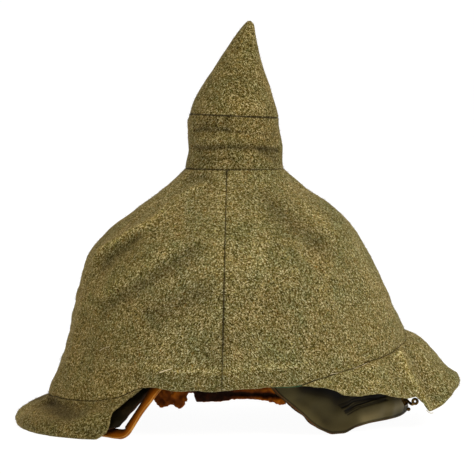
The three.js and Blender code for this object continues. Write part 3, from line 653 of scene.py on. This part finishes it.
sewnShare = 0.16  # share of a flap over which its own swell grows from the seam
frontFlap = {
    "end": 120,  # angle where it leaves the crown's edge
    "hem": {"middle": -85, "reach": 65.7, "half": 87, "corner": 90},  # plan of its hem: mm, and degrees
    "hemHeight": -0.6,  # the rolled hem rests on the ground
    "cornerRise": 5.5, "rounded": (0.9, 1.02),  # its rear corners, from and to shares of half the hem
    "straight": 6,  # power that keeps the curve of the profile off its ends
    # the whole flap painted darker as shade
    "rubbedAndShaded": -0.27,
    # share of the way from seam to hem, share of the whole by which each end bows in there
    "bow": [(0, 0), (0.15, 0.03), (0.3, 0.042), (0.5, 0.031), (0.75, 0.013), (1, 0)],
    # share of the way, out, drop
    "profile": [(0, 0, 0), (0.2, 0.14, 0.16), (0.45, 0.6, 0.38), (0.7, 0.93, 0.63), (0.87, 1.036, 0.86),
                (1, 1, 1)],
    # breadth, rise, share lighter, negative for darker: painted highlight and shade, line of (angle, share)
    "folds": [(7.5, -2.4, -0.52, [(-166, 0.18), (-152, 0.28), (-139, 0.4)]),
              (5, -0.9, -0.15, [(-131, 0.76), (-126, 0.86)]), (6, 0.8, 0.1, [(-140, 0.4), (-128, 0.55)]),
              (14, 0, 0.54, [(-184, 0.5), (-171, 0.76)]), (5, -1.2, -0.3, [(160, 0.18), (146, 0.3)])],
    "perDegree": 2,  # mm of cloth in a degree of turn
    "around": 180, "span": 230, "down": 44, "tall": 45,
}
rearFlap = {
    "end": 70,
    # angle, out, height
    "hem": [(0, 37.6, 27.1), (12, 32, 21.8), (18, 25.8, 15), (22, 21.6, 12.8), (25, 19.8, 15.9), (29, 17.9, 23.6),
            (32, 16.4, 23.5), (38, 14, 24.8), (42, 12.9, 26.9), (46, 11.8, 27.9), (52, 10, 27.7), (57, 8.1, 28.6),
            (60, 6.6, 31.6), (64.5, 3.6, 34), (70, 0.5, 34.7)],
    "profile": [(0, 0, 0), (0.17, 0.12, 0.03), (0.33, 0.3, 0.15), (0.5, 0.5, 0.41), (0.67, 0.74, 0.68),
                (0.83, 0.95, 0.86), (1, 1, 1)],
    # the whole flap painted lighter as lit
    "rubbedAndShaded": 0.1,
    # breadth, rise, share lighter, negative for darker: painted highlight and shade, line of (angle, share)
    "folds": [(2.8, 2.4, 0.6, [(-28, 0.22), (-28, 0.5), (-27, 0.78), (-25, 0.94), (-23, 1)]),
              (4, -1.3, -0.15, [(-34, 0.42), (-32, 0.95)]),
              (4, -1.3, -0.25, [(-20, 0.15), (-19, 0.5), (-19, 0.85)]),
              (4, 0.8, 0.08, [(-45, 0.3), (-43, 1)]), (3.5, -0.7, -0.1, [(-56, 0.4), (-50, 1)]),
              (3, 1.5, 0.2, [(25, 0.3), (28, 0.8), (23, 1)]), (5, -1, -0.1, [(36, 0.5), (33, 1)])],
    "letOut": {"length": (5, 30), "angle": (30, 10)},  # where its hem hangs lower by the round of its edge
    "growth": 20,  # mm of length over which its own swell grows
    "perDegree": 1.8,
    "around": 240, "span": 240, "down": 48, "tall": 45,
}


def flapPoint(seam, hem, profile, v, straight=0):
    out = readTable(profile, v, 1) * (1 - straight) + v * straight
    drop = readTable(profile, v, 2) * (1 - straight) + v * straight
    return seam + (hem - seam) * vectors(out, out, drop)


def ellipsePoint(plan, share, z):
    a = np.radians(180 + plan["corner"] * (2 * share - 1))
    return vectors(plan["middle"] + plan["reach"] * np.cos(a), plan["half"] * np.sin(a), z)


def addFlap(name, node, part, grid, angle, v, growth, rolls):
    rise, rubbedAndShaded = alongFolds(angle, v, part["folds"], (part["perDegree"], part["tall"]))
    rise = (swells(grid, crown["swells"]) + rise) * smoothStep(0, sewnShare, v) * growth
    return addCloth(name, grid, node, rise, part["rubbedAndShaded"] + rubbedAndShaded, rolls=rolls,
                    lead=crownNormal(angle[:1], crownEdge(angle[:1])),
                    faint=readTable(crown["seamShade"], grid[:1, :, 2], 1))


def addFrontFlap():
    v, u = stations(frontFlap, seamRoll, hemRoll, hemRoll)
    across = u + (1 - 2 * u) * readTable(frontFlap["bow"], v, 1)
    angle = 180 + (180 - frontFlap["end"]) * (2 * across - 1)
    seam = crownPoint(angle, crownEdge(angle))
    corner = frontFlap["cornerRise"] * smoothStep(*frontFlap["rounded"], np.abs(2 * across - 1))
    hem = ellipsePoint(frontFlap["hem"], across, frontFlap["hemHeight"] + corner)
    grid = flapPoint(seam, hem, frontFlap["profile"], v, (2 * across - 1) ** frontFlap["straight"])
    return addFlap("frontFlap", "cover_front_flap", frontFlap, grid, angle, v, 1, {"top": edgeRoll(angle[:1])})


def addRearFlap():
    v, u = stations(rearFlap, seamRoll, hemRoll, seamRoll)
    angle, letOut = rearFlap["end"] * (2 * u - 1), rearFlap["letOut"]
    seam, out = crownPoint(angle, crownEdge(angle)), byAngle(rearFlap["hem"], angle, 1)
    hem = seam + ovalOut(crown["sections"], angle, seam[..., 2]) * out[..., None]
    hem[..., 2] = byAngle(rearFlap["hem"], angle, 2)
    length = np.linalg.norm(hem - seam, axis=-1)
    longer = hemRoll * smoothStep(*letOut["length"], length) * smoothStep(*letOut["angle"], np.abs(angle))
    grid = flapPoint(seam, hem + unit(hem - seam) * longer[..., None], rearFlap["profile"], v)
    return addFlap("rearFlap", "cover_rear_flap", rearFlap, grid, angle, v,
                   smoothStep(0, rearFlap["growth"], length), {"top": seamRoll, "sides": seamRoll})


coverFrontFlap = addFrontFlap()
coverRearFlap = addRearFlap()
print("flaps made")


# Sleeve and cone over the spike

sleeveRadius = 33  # mm, for the cloth in a degree of turn
sleeve = {
    # heights and tilts of its ends in mm, share lighter, negative as painted shade, share of the crown's swells
    "low": 171.8, "high": 207.6, "lowTilt": -0.2, "highTilt": -1.3, "rubbedAndShaded": -0.2, "swell": 0.35,
    # height, front, rear
    "sections": [(170.3, -36, 31.2), (177, -35, 30.2), (185, -33.6, 30.4), (193, -34, 29.3), (203, -34.2, 27.8),
                 (207.3, -33.2, 27.6)],
    # breadth, rise, share lighter, negative for darker: painted highlight and shade, line of (angle, height)
    "folds": [(1.6, -1, -0.34, [(-150, 198.4), (-116, 198.2), (-98, 198.2)]),
              (4, -0.4, -0.16, [(-135, 202), (-95, 203)]),
              (1.3, -0.6, -0.22, [(-98, 198.2), (-84, 196.8), (-60, 195.8), (-30, 195)]),
              (1.7, -1.2, -0.4, [(-155, 186.5), (-125, 186), (-102, 186.5), (-79, 186.6), (-56, 186),
                                 (-25, 184.5)]),
              (5, -0.5, -0.16, [(-56, 184), (-30, 182)]),
              (4, 0.6, 0.1, [(-140, 192), (-60, 194)]), (2.2, -0.7, -0.2, [(-58, 184), (-43, 181), (-28, 177)]),
              (2, 0.6, 0.12, [(-90, 181), (-40, 177)]), (2, -0.5, -0.15, [(-140, 178), (-95, 179.5)]),
              (2.2, -1, -0.3, [(30, 184), (90, 187), (140, 185)]), (2.4, -0.8, -0.25, [(50, 199), (120, 198)])],
    "lowFade": 4, "highFade": 4,  # mm from its ends over which its folds grow
    "around": 200, "down": 52,
}
cone = {
    # share lighter, negative as painted shade, and folds painted with highlight and shade, as for the sleeve
    "low": 207.6, "high": 271.9, "lowTilt": -1.3, "highTilt": 0, "rubbedAndShaded": -0.13, "swell": 0.3,
    "sections": [(207.7, -33.2, 27.5), (217, -30.1, 24.9), (229, -23.8, 21.2), (241, -15.9, 17), (253, -7.9, 13.9),
                 (262, -1.8, 12), (269, 3.7, 10.9), (271.9, 6.6, 8.6)],
    "folds": [(4, 0.5, 0.08, [(-110, 214), (-50, 214)]),
              (5, -0.4, -0.12, [(-95, 232), (-60, 236)]), (4, 0.5, 0.1, [(-90, 250), (-60, 258)]),
              (4, 0.6, 0.1, [(70, 240), (110, 220)])],
    "lowFade": 4, "highFade": 30,
    "around": 170, "down": 62, "tipCrowding": 1.4,
}


def addTall(name, node, part, pole=False):
    height = part["high"] - part["low"]
    if pole:
        end = crowded(seamRoll, height)[::-1]
        rows = np.linspace(0, 1, part["down"])[:-1] ** part["tipCrowding"] * (1 - end[0])
        v = np.concatenate([rows, 1 - end])
    else:
        v = spaced(part["down"], height, seamRoll, seamRoll)
    angle = turns(part["around"])[None]
    tilt = np.cos(np.radians(angle))
    high, low = part["high"] + part["highTilt"] * tilt, part["low"] + part["lowTilt"] * tilt
    z = high + (low - high) * v[:, None]
    grid = ovalPoint(part["sections"], angle, z)
    rise, rubbedAndShaded = alongFolds(angle, z, part["folds"], (math.radians(1) * sleeveRadius, 1))
    rise = rise + part["swell"] * swells(grid, crown["swells"])
    rise = rise * smoothStep(0, part["lowFade"], z - low) * smoothStep(0, part["highFade"], high - z)
    return addCloth(name, grid, node, rise, part["rubbedAndShaded"] + rubbedAndShaded, rolls={"top": seamRoll, "bottom": seamRoll},
                    ring=True, pole=pole)


spikeSleeve = addTall("spikeSleeve", "spike_sleeve", sleeve)
spikeCone = addTall("spikeCone", "spike_cone", cone, pole=True)
print("sleeve and cone made")


# Leather skull, visors and sweatband

hideThick = 2.5
bandThick = 1.8
shell = {
    "apex": 156.5,
    # height, front, rear, half width
    "sections": [(18, -114, 117, 82.5), (40, -112.5, 113.5, 82.3), (60, -110.5, 109.5, 81.8),
                 (80, -107.6, 100.6, 80.8), (105, -101.6, 89.8, 78), (120, -90, 79, 69), (135, -74, 66, 58),
                 (146, -54, 49, 43), (153, -33, 31, 27), (156.5, -4, 4, 4)],
    # angle from the rear, height of the lower rim
    "rim": [(0, 60), (30, 53.5), (60, 40), (78, 36.5), (115, 36), (140, 28), (180, 24)],
    "around": 160, "down": 60,
    "crowdFrom": 0.98, "lastRows": (0.992, 0.997, 0.9992, 1),  # shares of the way down, crowded at the rim
}
frontVisor = {
    "end": 118,
    "edge": {"middle": -85, "reach": 61.4, "half": 81.6, "corner": 98.3},
    "low": 4.6, "cornerRise": 2.6, "bow": 0.02,
    # share of the way, out, drop
    "profile": [(0, 0, 0), (0.35, 0.27, 0.47), (0.7, 0.65, 0.8), (1, 1, 1)],
    "straight": 6,
    "swells": [(9, 0.25, 31)], "sewnShare": 0.2,  # breadth, height, seed, and the share over which it grows
    "around": 140, "span": 200, "down": 30, "tall": 40,
}
rearVisor = {
    "end": 80,
    # angle, height, out
    "edge": [(0, 9, 7), (10, 7.8, 6.6), (20, 6.6, 5.6), (38, 5.6, 2), (46, 3.2, -1), (51.9, 0, -1.9),
             (56.1, 0, -2.3), (60, 2.4, -2.3), (64, 6.8, -1.8), (68, 13.4, -1.3), (76, 26.4, -0.3), (80, 33.4, 0)],
    # breadth, rise, share lighter, negative for darker, line of (angle, height):
    # creases that fan out from where the leather buckles, darkened as painted shade, a ridge lightened as a painted
    # highlight, darker patches, and a dark strip of painted shade under the cover's hem
    "folds": [(0.7, -0.6, -0.4, [(-15, 9.6), (-12, 14), (-12, 20)]),
              (0.7, -0.5, -0.3, [(-11, 10.2), (-9, 14), (-9, 20)]),
              (5, -0.8, -0.06, [(-58, 10), (-55, 18), (-53, 28)]),
              (4.5, 0.9, 0.2, [(-42, 9), (-36, 12), (-26, 14.5), (-16, 15.5)]),
              (5, 0, -0.5, [(-67, 33), (-60, 30), (-54, 27.5), (-46, 26.5), (-36, 26.5), (-26, 26), (-18, 25)]),
              (4, 0, -0.16, [(-55, 22), (-50, 17)]), (5, 0, -0.1, [(-58, 5), (-49, 5)]),
              (3, -0.6, -0.1, [(-70, 24), (-64, 18), (-60, 10)]), (4, -0.8, -0.2, [(40, 12), (52, 22)])],
    # fine creases between an upper and a lower line of (angle, height), darkened as painted shade
    "creases": {"count": 9, "breadth": 0.45, "rise": -0.4, "rubbedAndShaded": -0.4, "stray": 0.4, "weakest": 0.4,
                "seed": 33,
                "upper": [(-54, 19.5), (-48, 22.8), (-40, 24.6), (-31, 24.2)],
                "lower": [(-50, 12.2), (-44.5, 16.2), (-37, 18.8), (-29, 19.2)]},
    "rubbedAndShaded": 0.55,
    "perDegree": 1.6,  # mm of leather in a degree of turn
    "swells": [(14, 0.25, 32)], "sewnShare": 0.15, "edgeFade": 3,  # and mm above its edge where folds grow
    # pressed line along the edge, mm from it, and the groove beside it, darkened as painted shade
    "bead": {"from": 0.6, "breadth": 1.1, "rise": 0.2},
    "groove": {"from": 1.7, "breadth": 0.55, "rise": -0.25, "rubbedAndShaded": -0.25},
    "around": 300, "span": 260, "down": 90, "tall": 42,
}
band = {
    "top": 20, "inset": 3.85,  # mm above the skull's rim, mm inside its surface
    "crowding": 20, "shift": 10,  # degrees by which the stations crowd towards the torn parts at the ears
    # angle, how far the torn edge hangs below the skull's rim
    "edge": [(-180, -2), (-127, -2), (-121.5, 6), (-119.5, 13.6), (-116.7, 17.6), (-113.5, 15.8), (-110.9, 17.8),
             (-108.8, 15.4), (-107.2, 7.4), (-105.7, 7.4), (-104.4, 13.4), (-93.6, 12.2), (-92.4, 11.2),
             (-82.3, 11.8), (-78, 14.6), (-75.4, 15.2), (-73, 13), (-71, -2), (72, -2), (78, 8.5), (100, 10),
             (121, 9), (128, -2), (180, -2)],
    # angle, share of bright worn leather, raggedness
    "wear": [(-180, 0.25, 0.3), (-121, 0.3, 0.5), (-109, 0.3, 0.5), (-106, 0.1, 0.2), (-104, -0.06, 0.06),
             (-94, -0.02, 0.06), (-91, 0.14, 0.12), (-83, 0.17, 0.2), (-77, 0.31, 1), (-70, 0.3, 1),
             (70, 0.25, 0.5), (180, 0.25, 0.3)],
    "tears": [(2.2, 0.5, 21), (0.8, 0.25, 22)],  # breadth in degrees, depth, seed
    "crumples": [(8, 0.9, 23), (3.5, 0.45, 24)],  # breadth, height, seed
    # breadth, rise, share lighter, negative for darker, line of (angle, height): layers that curl apart, the gap
    # between them darkened as painted shade
    "folds": [(1, -0.6, -0.34, [(-94, 28.6), (-84, 28.2), (-75, 26.8)]),
              (1.6, 0.3, 0.14, [(-90, 31.4), (-75, 30.4)]),
              (1.3, 0.3, 0.16, [(-90, 25.6), (-82, 25.2), (-74, 23.6)])],
    "tornFrom": (2, 8), "looseFrom": (2, 9),  # mm below the rim where tears and crumples begin, and are whole
    "perDegree": 1.4, "shadeByRise": 0.12,  # mm of leather in a degree, share lighter for a mm of rise: painted highlight on raised crumples and painted shade in their hollows
    "around": 760, "down": 34, "tall": 30,
}


def shellRim(angle):
    return byAngle(shell["rim"], angle, 1)


def addSkull():
    v = np.concatenate([np.linspace(0, shell["crowdFrom"], shell["down"]), shell["lastRows"]])[:, None]
    angle = turns(shell["around"])[None]
    z = shellRim(angle) + (shell["apex"] - shellRim(angle)) * np.cos(np.pi / 2 * v)
    addWall("leatherSkull", ovalPoint(shell["sections"], angle, z), hideThick, skullHide, "black_leather",
            "helmet_shell", ring=True, pole=True)


def addFrontVisor():
    v, u = stations(frontVisor, seamRoll, hideThick / 2, hideThick / 2)
    u = u + (0.5 - u) * 4 * frontVisor["bow"] * v * (1 - v)
    angle = 180 + (180 - frontVisor["end"]) * (2 * u - 1)
    root = ovalPoint(shell["sections"], angle, shellRim(angle))
    sides = (2 * u - 1) ** frontVisor["straight"]
    edge = ellipsePoint(frontVisor["edge"], u, frontVisor["low"] + frontVisor["cornerRise"] * sides)
    grid = flapPoint(root, edge, frontVisor["profile"], v, sides)
    rise = swells(grid, frontVisor["swells"]) * smoothStep(0, frontVisor["sewnShare"], v)
    addWall("frontVisorHide", grid, hideThick, blackLacquer, "black_leather", "front_visor",
            {"top": seamRoll}, rise=rise)


def creaseRows(creases):
    dice = np.random.default_rng(creases["seed"])
    rows = []
    for share in np.linspace(0, 1, creases["count"]):
        line = (1 - share) * np.array(creases["upper"]) + share * np.array(creases["lower"])
        line = line + dice.normal(size=line.shape) * creases["stray"]
        strength = dice.uniform(creases["weakest"], 1)
        rows.append((creases["breadth"], creases["rise"] * strength, creases["rubbedAndShaded"] * strength, line))
    return rows


def addRearVisor():
    v, u = stations(rearVisor, seamRoll, hideThick / 2, hideThick / 2)
    angle = rearVisor["end"] * (2 * u - 1)
    top, low, out = shellRim(angle), byAngle(rearVisor["edge"], angle, 1), byAngle(rearVisor["edge"], angle, 2)
    grid = ovalPoint(shell["sections"], angle, top) + ovalOut(shell["sections"], angle, top) * (out * v)[..., None]
    grid[..., 2] = top + (low - top) * v
    above, bead, groove = grid[..., 2] - low, rearVisor["bead"], rearVisor["groove"]
    folds = rearVisor["folds"] + creaseRows(rearVisor["creases"])
    rise, rubbedAndShaded = alongFolds(angle, grid[..., 2], folds, (rearVisor["perDegree"], 1))
    rise = rise + swells(grid, rearVisor["swells"])
    rise = rise * smoothStep(0, rearVisor["sewnShare"], v) * smoothStep(0, rearVisor["edgeFade"], above)
    pressed, sunk = (bell(above - line["from"], line["breadth"]) for line in (bead, groove))
    addWall("rearVisorHide", grid, hideThick, oliveLacquer, "olive_leather", "rear_visor",
            {"top": seamRoll}, rise=rise + bead["rise"] * pressed + groove["rise"] * sunk,
            values={"worn": rearVisor["rubbedAndShaded"] + rubbedAndShaded + groove["rubbedAndShaded"] * sunk})


def addSweatband():
    v = spaced(band["down"], band["tall"], bandThick / 2, bandThick / 2)[:, None]
    even = turns(band["around"])
    angle = wrapped(even + band["crowding"] * np.sin(np.radians(2 * (even + band["shift"]))))[None]
    rim, drop = shellRim(angle), readTable(band["edge"], angle, 1, level=True)
    wear, ragged = (readTable(band["wear"], angle, k) for k in (1, 2))
    torn = vectors(angle, 0, 0)
    for breadth, depth, seed in band["tears"]:
        drop = drop + depth * swell(torn, breadth, seed) * smoothStep(*band["tornFrom"], drop) * ragged
    z = rim + band["top"] - (band["top"] + drop) * v
    grid = ovalPoint(shell["sections"], angle, np.maximum(z, rim))
    grid = grid - ovalOut(shell["sections"], angle, z) * band["inset"]
    grid[..., 2] = z
    folded, lighter = alongFolds(angle, z, band["folds"], (band["perDegree"], 1))
    loose = smoothStep(*band["looseFrom"], rim - z) * np.sqrt(ragged)
    rise = swells(grid, band["crumples"]) * loose + folded
    addWall("sweatbandHide", grid, bandThick, bandHide, "brown_leather", "sweatband", ring=True,
            rise=rise, values={"worn": wear + lighter + band["shadeByRise"] * rise})


addSkull()
addFrontVisor()
addRearVisor()
addSweatband()
print("leather made")


# Chin strap

strap = {
    "width": 9, "thick": 1.9, "steps": 12,
    "wear": 0.8,  # how far the inner edge is darkened as painted shade, beside the light outer one
    # x, y, z of the middle, then the turn and lean of its face
    "route": [(-40.8, -77.8, 56.2, -106, 2), (-46.8, -76.3, 43.5, -110, 3), (-51.8, -77.5, 34.6, -130, 14),
              (-57, -79.3, 26.6, -146, 24), (-63.6, -81, 17.2, -154, 31), (-69.8, -83.1, 7.8, -150, 37),
              (-71.9, -83.1, 4.7, -145, 45), (-74.8, -81, 2.8, -134, 56), (-86.4, -71, 2.6, -128, 60),
              (-103, -57, 2.6, -137, 60), (-117, -38, 2.6, -150, 60), (-124.5, -15, 2.6, -169, 60)],
    # across and up, in halves of the width and thickness: rounded edges, with a creased line near each
    "section": [(-1, 0), (-0.98, 0.6), (-0.91, 0.95), (-0.8, 1), (-0.74, 0.72), (-0.68, 1), (-0.3, 1.1),
                (0, 1.12), (0.3, 1.1), (0.68, 1), (0.74, 0.72), (0.8, 1), (0.91, 0.95), (0.98, 0.6), (1, 0),
                (0.96, -0.8), (0.85, -1), (0, -1), (-0.85, -1), (-0.96, -0.8)],
}


def addStrap():
    half = np.array(strap["route"], float)
    rows = np.vstack([half, half[::-1] * np.array([1, -1, 1, -1, 1])])
    middle = smoothPath(rows[:, :3], strap["steps"])
    turn, lean = np.radians(rows[:, 3]), np.radians(rows[:, 4])
    face = vectors(np.cos(lean) * np.cos(turn), np.cos(lean) * np.sin(turn), np.sin(lean))
    along = unit(np.gradient(middle, axis=0))
    across = unit(np.cross(along, smoothPath(face, strap["steps"])))
    normal = np.cross(across, along)
    section = np.array(strap["section"]) * (strap["width"] / 2, strap["thick"] / 2)
    points = middle[:, None] + across[:, None] * section[:, :1] + normal[:, None] * section[:, 1:]
    index = np.arange(points[..., 0].size).reshape(points.shape[:2])
    faces = gridFaces(index, ring=True).tolist() + [index[0].tolist(), index[-1, ::-1].tolist()]
    worn = np.tile((np.array(strap["section"])[:, 0] + 1) / 2 * strap["wear"], len(points))
    addPiece("chinStrap", points.reshape(-1, 3), faces, strapHide, "chin_strap",
             {"worn": worn})


addStrap()
print("strap made")


# Hook at the rear hem

hook = {
    "wire": 0.95, "plateWire": 1.5, "sides": 12, "steps": 8, "side": (0.1, 1, 0.1),  # radii, then the tubes' make
    "eye": (117.3, -45, 18.9), "eyeRadius": 1.55, "eyeRows": 24, "eyeStart": 10, "eyeLean": (0, 0.2, 1),
    "shank": [(116.6, -45, 17.5), (115.4, -44, 16.8), (112.8, -41, 18.6), (110.4, -37.5, 21.4)],
    "plate": [(109.4, -36.5, 20.8), (110.8, -37, 18), (112.2, -38, 15.4)],
    "stud": (113.6, -38.4, 12.7), "studRadius": 1.3, "studRows": 13, "studLean": (-0.4, 0.1, 0.9),
    "studBlunt": 1.02,
}


def addHook():
    turn = np.radians(360 / hook["eyeRows"] * np.arange(hook["eyeRows"] + 2) + hook["eyeStart"])[:, None]
    ring = np.cos(turn) * np.array([1, 0, 0]) + np.sin(turn) * np.array(hook["eyeLean"])
    along = np.linspace(-1, 1, hook["studRows"])
    stud = hook["stud"] + along[:, None] * np.array(hook["studLean"]) * hook["studRadius"]
    wires = [(hook["eye"] + hook["eyeRadius"] * ring, hook["wire"]),
             (smoothPath(hook["shank"], hook["steps"]), hook["wire"]),
             (smoothPath(hook["plate"], hook["steps"]), hook["plateWire"]),
             (stud, hook["studRadius"] * np.sqrt(hook["studBlunt"] - along ** 2))]
    points, faces = joined([tubes(path[None], radius, hook["sides"], hook["side"]) for path, radius in wires])
    addPiece("hemHook", points, faces, darkBrass, "cover_hook")


addHook()
for name in ("strap_knob_near", "strap_knob_far", "spike_post"):
    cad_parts[name].data.materials.clear()
    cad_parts[name].data.materials.append(darkBrass)
print("hook made")


# Stitches, loose threads and the nap of the cloth

sewing = {
    "radius": 0.26, "length": 2.4, "step": 4.4, "shades": (0.1, 1), "seed": 51,
    "lengths": (0.7, 1.1), "stray": 0.4, "blunt": 0.25,  # shares of the length, mm off the line, blunt ends
    "lift": 0.1, "looseLift": 0.25,  # mm off the cloth
    "hemRadius": 92, "steps": 6, "sides": 6,
    # first and last angle, share of stitches that still show
    "rows": [(-113, -97, 0.9), (-97, -72, 0.4), (72, 118, 0.5)],
    # radius, line of (angle, height): a pulled thread, and wisps along the rear seam
    "loose": [(0.4, [(-114.4, 43.2), (-113, 44.4), (-111.8, 45.2), (-110.6, 46)]),
              (0.25, [(-60.4, 41.6), (-58.6, 42), (-56.8, 41.4), (-54.6, 41)]),
              (0.22, [(-58, 42.4), (-55.8, 42), (-53.8, 42.6)]), (0.2, [(-52, 43.4), (-50.4, 44.6), (-48, 45.2)]),
              (0.2, [(-47.6, 45.4), (-45.4, 46.6), (-43, 46.8)]), (0.2, [(-141, 54), (-139, 56), (-136, 57.6)])],
    "thinned": 0.6,  # share of its radius that a loose thread ends with
    # at the rear corner
    "tail": [(124.8, -46, 13.4), (126.4, -46, 11.7), (128, -46, 11.2), (129.4, -46, 11.5)], "tailRadius": 0.22,
}


def onCrown(line, lift):
    angle, z = smoothPath(line, sewing["steps"]).T
    return crownPoint(angle, z) + ovalOut(crown["sections"], angle, z) * lift


def addThreads():
    dice = np.random.default_rng(sewing["seed"])
    perDegree = math.radians(1) * sewing["hemRadius"]
    threads = []
    for first, last, kept in sewing["rows"]:
        for at in np.arange(first, last, sewing["step"] / perDegree):
            if dice.random() < kept:
                length = sewing["length"] * dice.uniform(*sewing["lengths"]) / perDegree
                ends = at + np.array([0, 0.5, 1]) * length
                height = crownEdge(ends) + crown["hem"]["deep"] + dice.uniform(-sewing["stray"], sewing["stray"])
                path = onCrown(vectors(ends, height), sewing["lift"])
                bulge = np.sin(np.linspace(sewing["blunt"], math.pi - sewing["blunt"], len(path)))
                threads.append((path, sewing["radius"] * bulge))
    for radius, line in sewing["loose"]:
        path = onCrown(line, sewing["looseLift"])
        threads.append((path, radius * np.linspace(1, sewing["thinned"], len(path))))
    threads.append((smoothPath(sewing["tail"], sewing["steps"]), sewing["tailRadius"]))
    parts = [tubes(path[None], radius, sewing["sides"]) for path, radius in threads]
    points, faces = joined(parts)
    shade = np.concatenate([np.full(len(part[0]), dice.uniform(*sewing["shades"])) for part in parts])
    addPiece("seamThreads", points, faces, linenThread, values={"shade": shade})


# binding that peeps out under the near hem
tape = {"angles": (-80, -66), "inset": 2.3, "below": 0.1, "radius": 0.9, "blunt": 0.02, "rows": 30, "sides": 10,
        "seed": 71}


def addTape():
    angle = np.linspace(*tape["angles"], tape["rows"])
    z = crownEdge(angle) - tape["below"]
    path = ovalPoint(crown["sections"], angle, z) - ovalOut(crown["sections"], angle, z) * tape["inset"]
    ends = np.sqrt(np.sin(np.linspace(tape["blunt"], math.pi - tape["blunt"], tape["rows"])))
    points, faces = tubes(path[None], tape["radius"] * ends, tape["sides"])
    shade = np.random.default_rng(tape["seed"]).uniform(0, 1, len(points))
    addPiece("hemTape", points, faces, greenTape, values={"shade": shade})


nap = {
    "count": 12000, "seed": 61,
    "radius": 0.055, "taper": (1, 0.9, 0.5),  # mm, drawn coarser to show, and shares of it along a fibre
    "sides": 3, "side": (0.31, 0.17, 0.93),
    "long": (0.8, 2.4), "lift": (0.15, 0.8),  # mm, slope off the cloth
    "curl": 0.25, "bends": (0.6, -0.3),  # share of the length, and of the curl at the middle and the tip
    "spread": 0.7, "sunk": 0.1, "floor": 0.2,  # mm along the cloth, into it, and above the ground
    "hemBand": 1.5, "hemShare": 5,  # more of them along the frayed edges
}


def addNap():
    dice = np.random.default_rng(nap["seed"])
    spots, normals, weights = [], [], []
    for grid, ring in clothSurfaces:
        normal = gridNormals(grid, ring)
        area = np.linalg.norm(np.cross(grid[1:, :-1] - grid[:-1, :-1], grid[:-1, 1:] - grid[:-1, :-1]), axis=-1)
        spots.append(grid[:-1, :-1].reshape(-1, 3))
        normals.append(normal[:-1, :-1].reshape(-1, 3))
        below = distances(grid)[0]
        atHem = (below[-1:] - below)[:-1, :-1] < nap["hemBand"]
        weights.append((area * np.where(atHem, nap["hemShare"], 1)).reshape(-1))
    spots, normals, weights = np.concatenate(spots), np.concatenate(normals), np.concatenate(weights)
    pick = dice.choice(len(spots), nap["count"], p=weights / weights.sum())
    way = unit(np.cross(normals[pick], unit(dice.normal(size=(nap["count"], 3)))))
    lean = dice.uniform(*nap["lift"], (nap["count"], 1))
    long = dice.uniform(*nap["long"], (nap["count"], 1))
    curl = dice.normal(size=(nap["count"], 3)) * nap["curl"] * long
    aside = dice.uniform(-nap["spread"], nap["spread"], (nap["count"], 1))
    root = spots[pick] + way * aside - normals[pick] * nap["sunk"]
    reach = unit(way + normals[pick] * lean) * long
    middle, tip = (share * reach + bend * curl for share, bend in zip((0.5, 1), nap["bends"]))
    paths = np.stack([root, root + middle, root + tip], 1)
    paths[..., 2] = np.maximum(paths[..., 2], nap["floor"])
    points, faces = tubes(paths, nap["radius"] * np.array(nap["taper"]), nap["sides"], nap["side"])
    shade = np.repeat(dice.uniform(0, 1, nap["count"]), len(points) // nap["count"])
    addPiece("woolNap", points, faces, woolFibre, values={"shade": shade})


addThreads()
addTape()
addNap()
print("threads and nap made")
# Camera, light and floor

view = {
    "x": -0.0007, "distance": 1.4, "height": 0.215, "clip": (0.05, 50),  # metres
    "pitch": -3.67, "lens": 156.4, "film": 36,  # degrees, then mm
}
camera = bpy.data.objects.new("camera", bpy.data.cameras.new("camera"))
bpy.context.scene.collection.objects.link(camera)
camera.location = (view["x"], -view["distance"], view["height"])
camera.rotation_euler = (math.radians(90 + view["pitch"]), 0, 0)
camera.data.lens, camera.data.sensor_width = view["lens"], view["film"]
camera.data.clip_start, camera.data.clip_end = view["clip"]
bpy.context.scene.camera = camera

lights = {  # place and size in metres, watts, colour
    "keySoftbox": ((1.1, -1.2, 1.4), 0.7, 30, "fff6e8"),
    "fillSoftbox": ((-1.3, -1.4, 0.9), 1.2, 7, "ffeed4"),
}
lightTarget = Vector((0, 0, 0.12))
for name, (place, size, power, colour) in lights.items():
    lamp = bpy.data.lights.new(name, "AREA")
    lamp.size, lamp.energy, lamp.color = size, power, linear(colour)[:3]
    light = bpy.data.objects.new(name, lamp)
    bpy.context.scene.collection.objects.link(light)
    light.location = place
    light.rotation_euler = (lightTarget - Vector(place)).to_track_quat("-Z", "Y").to_euler()

studio = {"Color": linear("fff0d6"), "Strength": 0.32}  # even light from all round
world = bpy.data.worlds.new("studio")
bpy.context.scene.world = world
world.use_nodes = True
for key, value in studio.items():
    world.node_tree.nodes["Background"].inputs[key].default_value = value

sweep = {"half": 12, "front": -12, "back": 2.6, "radius": 0.9, "height": 4, "steps": 12}  # metres
profile = [(sweep["front"], 0), (sweep["back"], 0)]
for step in range(1, sweep["steps"] + 1):
    turn = math.pi / 2 * step / sweep["steps"]
    profile.append((sweep["back"] + sweep["radius"] * math.sin(turn), sweep["radius"] * (1 - math.cos(turn))))
profile.append((sweep["back"] + sweep["radius"], sweep["height"]))
sweepPoints = [(side * sweep["half"], y, z) for y, z in profile for side in (-1, 1)]
sweepFaces = [(2 * i, 2 * i + 1, 2 * i + 3, 2 * i + 2) for i in range(len(profile) - 1)]
sweepMesh = bpy.data.meshes.new("paperSweep")
sweepMesh.from_pydata(sweepPoints, [], sweepFaces)
sweepMesh.shade_smooth()
# matt paper that glows a little, so it goes to white and takes only a soft shadow
paper = newMaterial("whitePaper", {
    "Base Color": linear("5a5a5a"), "Roughness": 0.9, "Specular IOR Level": 0.1,
    "Emission Color": linear("ffffff"), "Emission Strength": 0.96})[0]
sweepMesh.materials.append(paper)
paperSweep = bpy.data.objects.new("paperSweep", sweepMesh)
bpy.context.scene.collection.objects.link(paperSweep)
bpy.context.scene.view_settings.view_transform = "Standard"
print("camera, light and floor made")
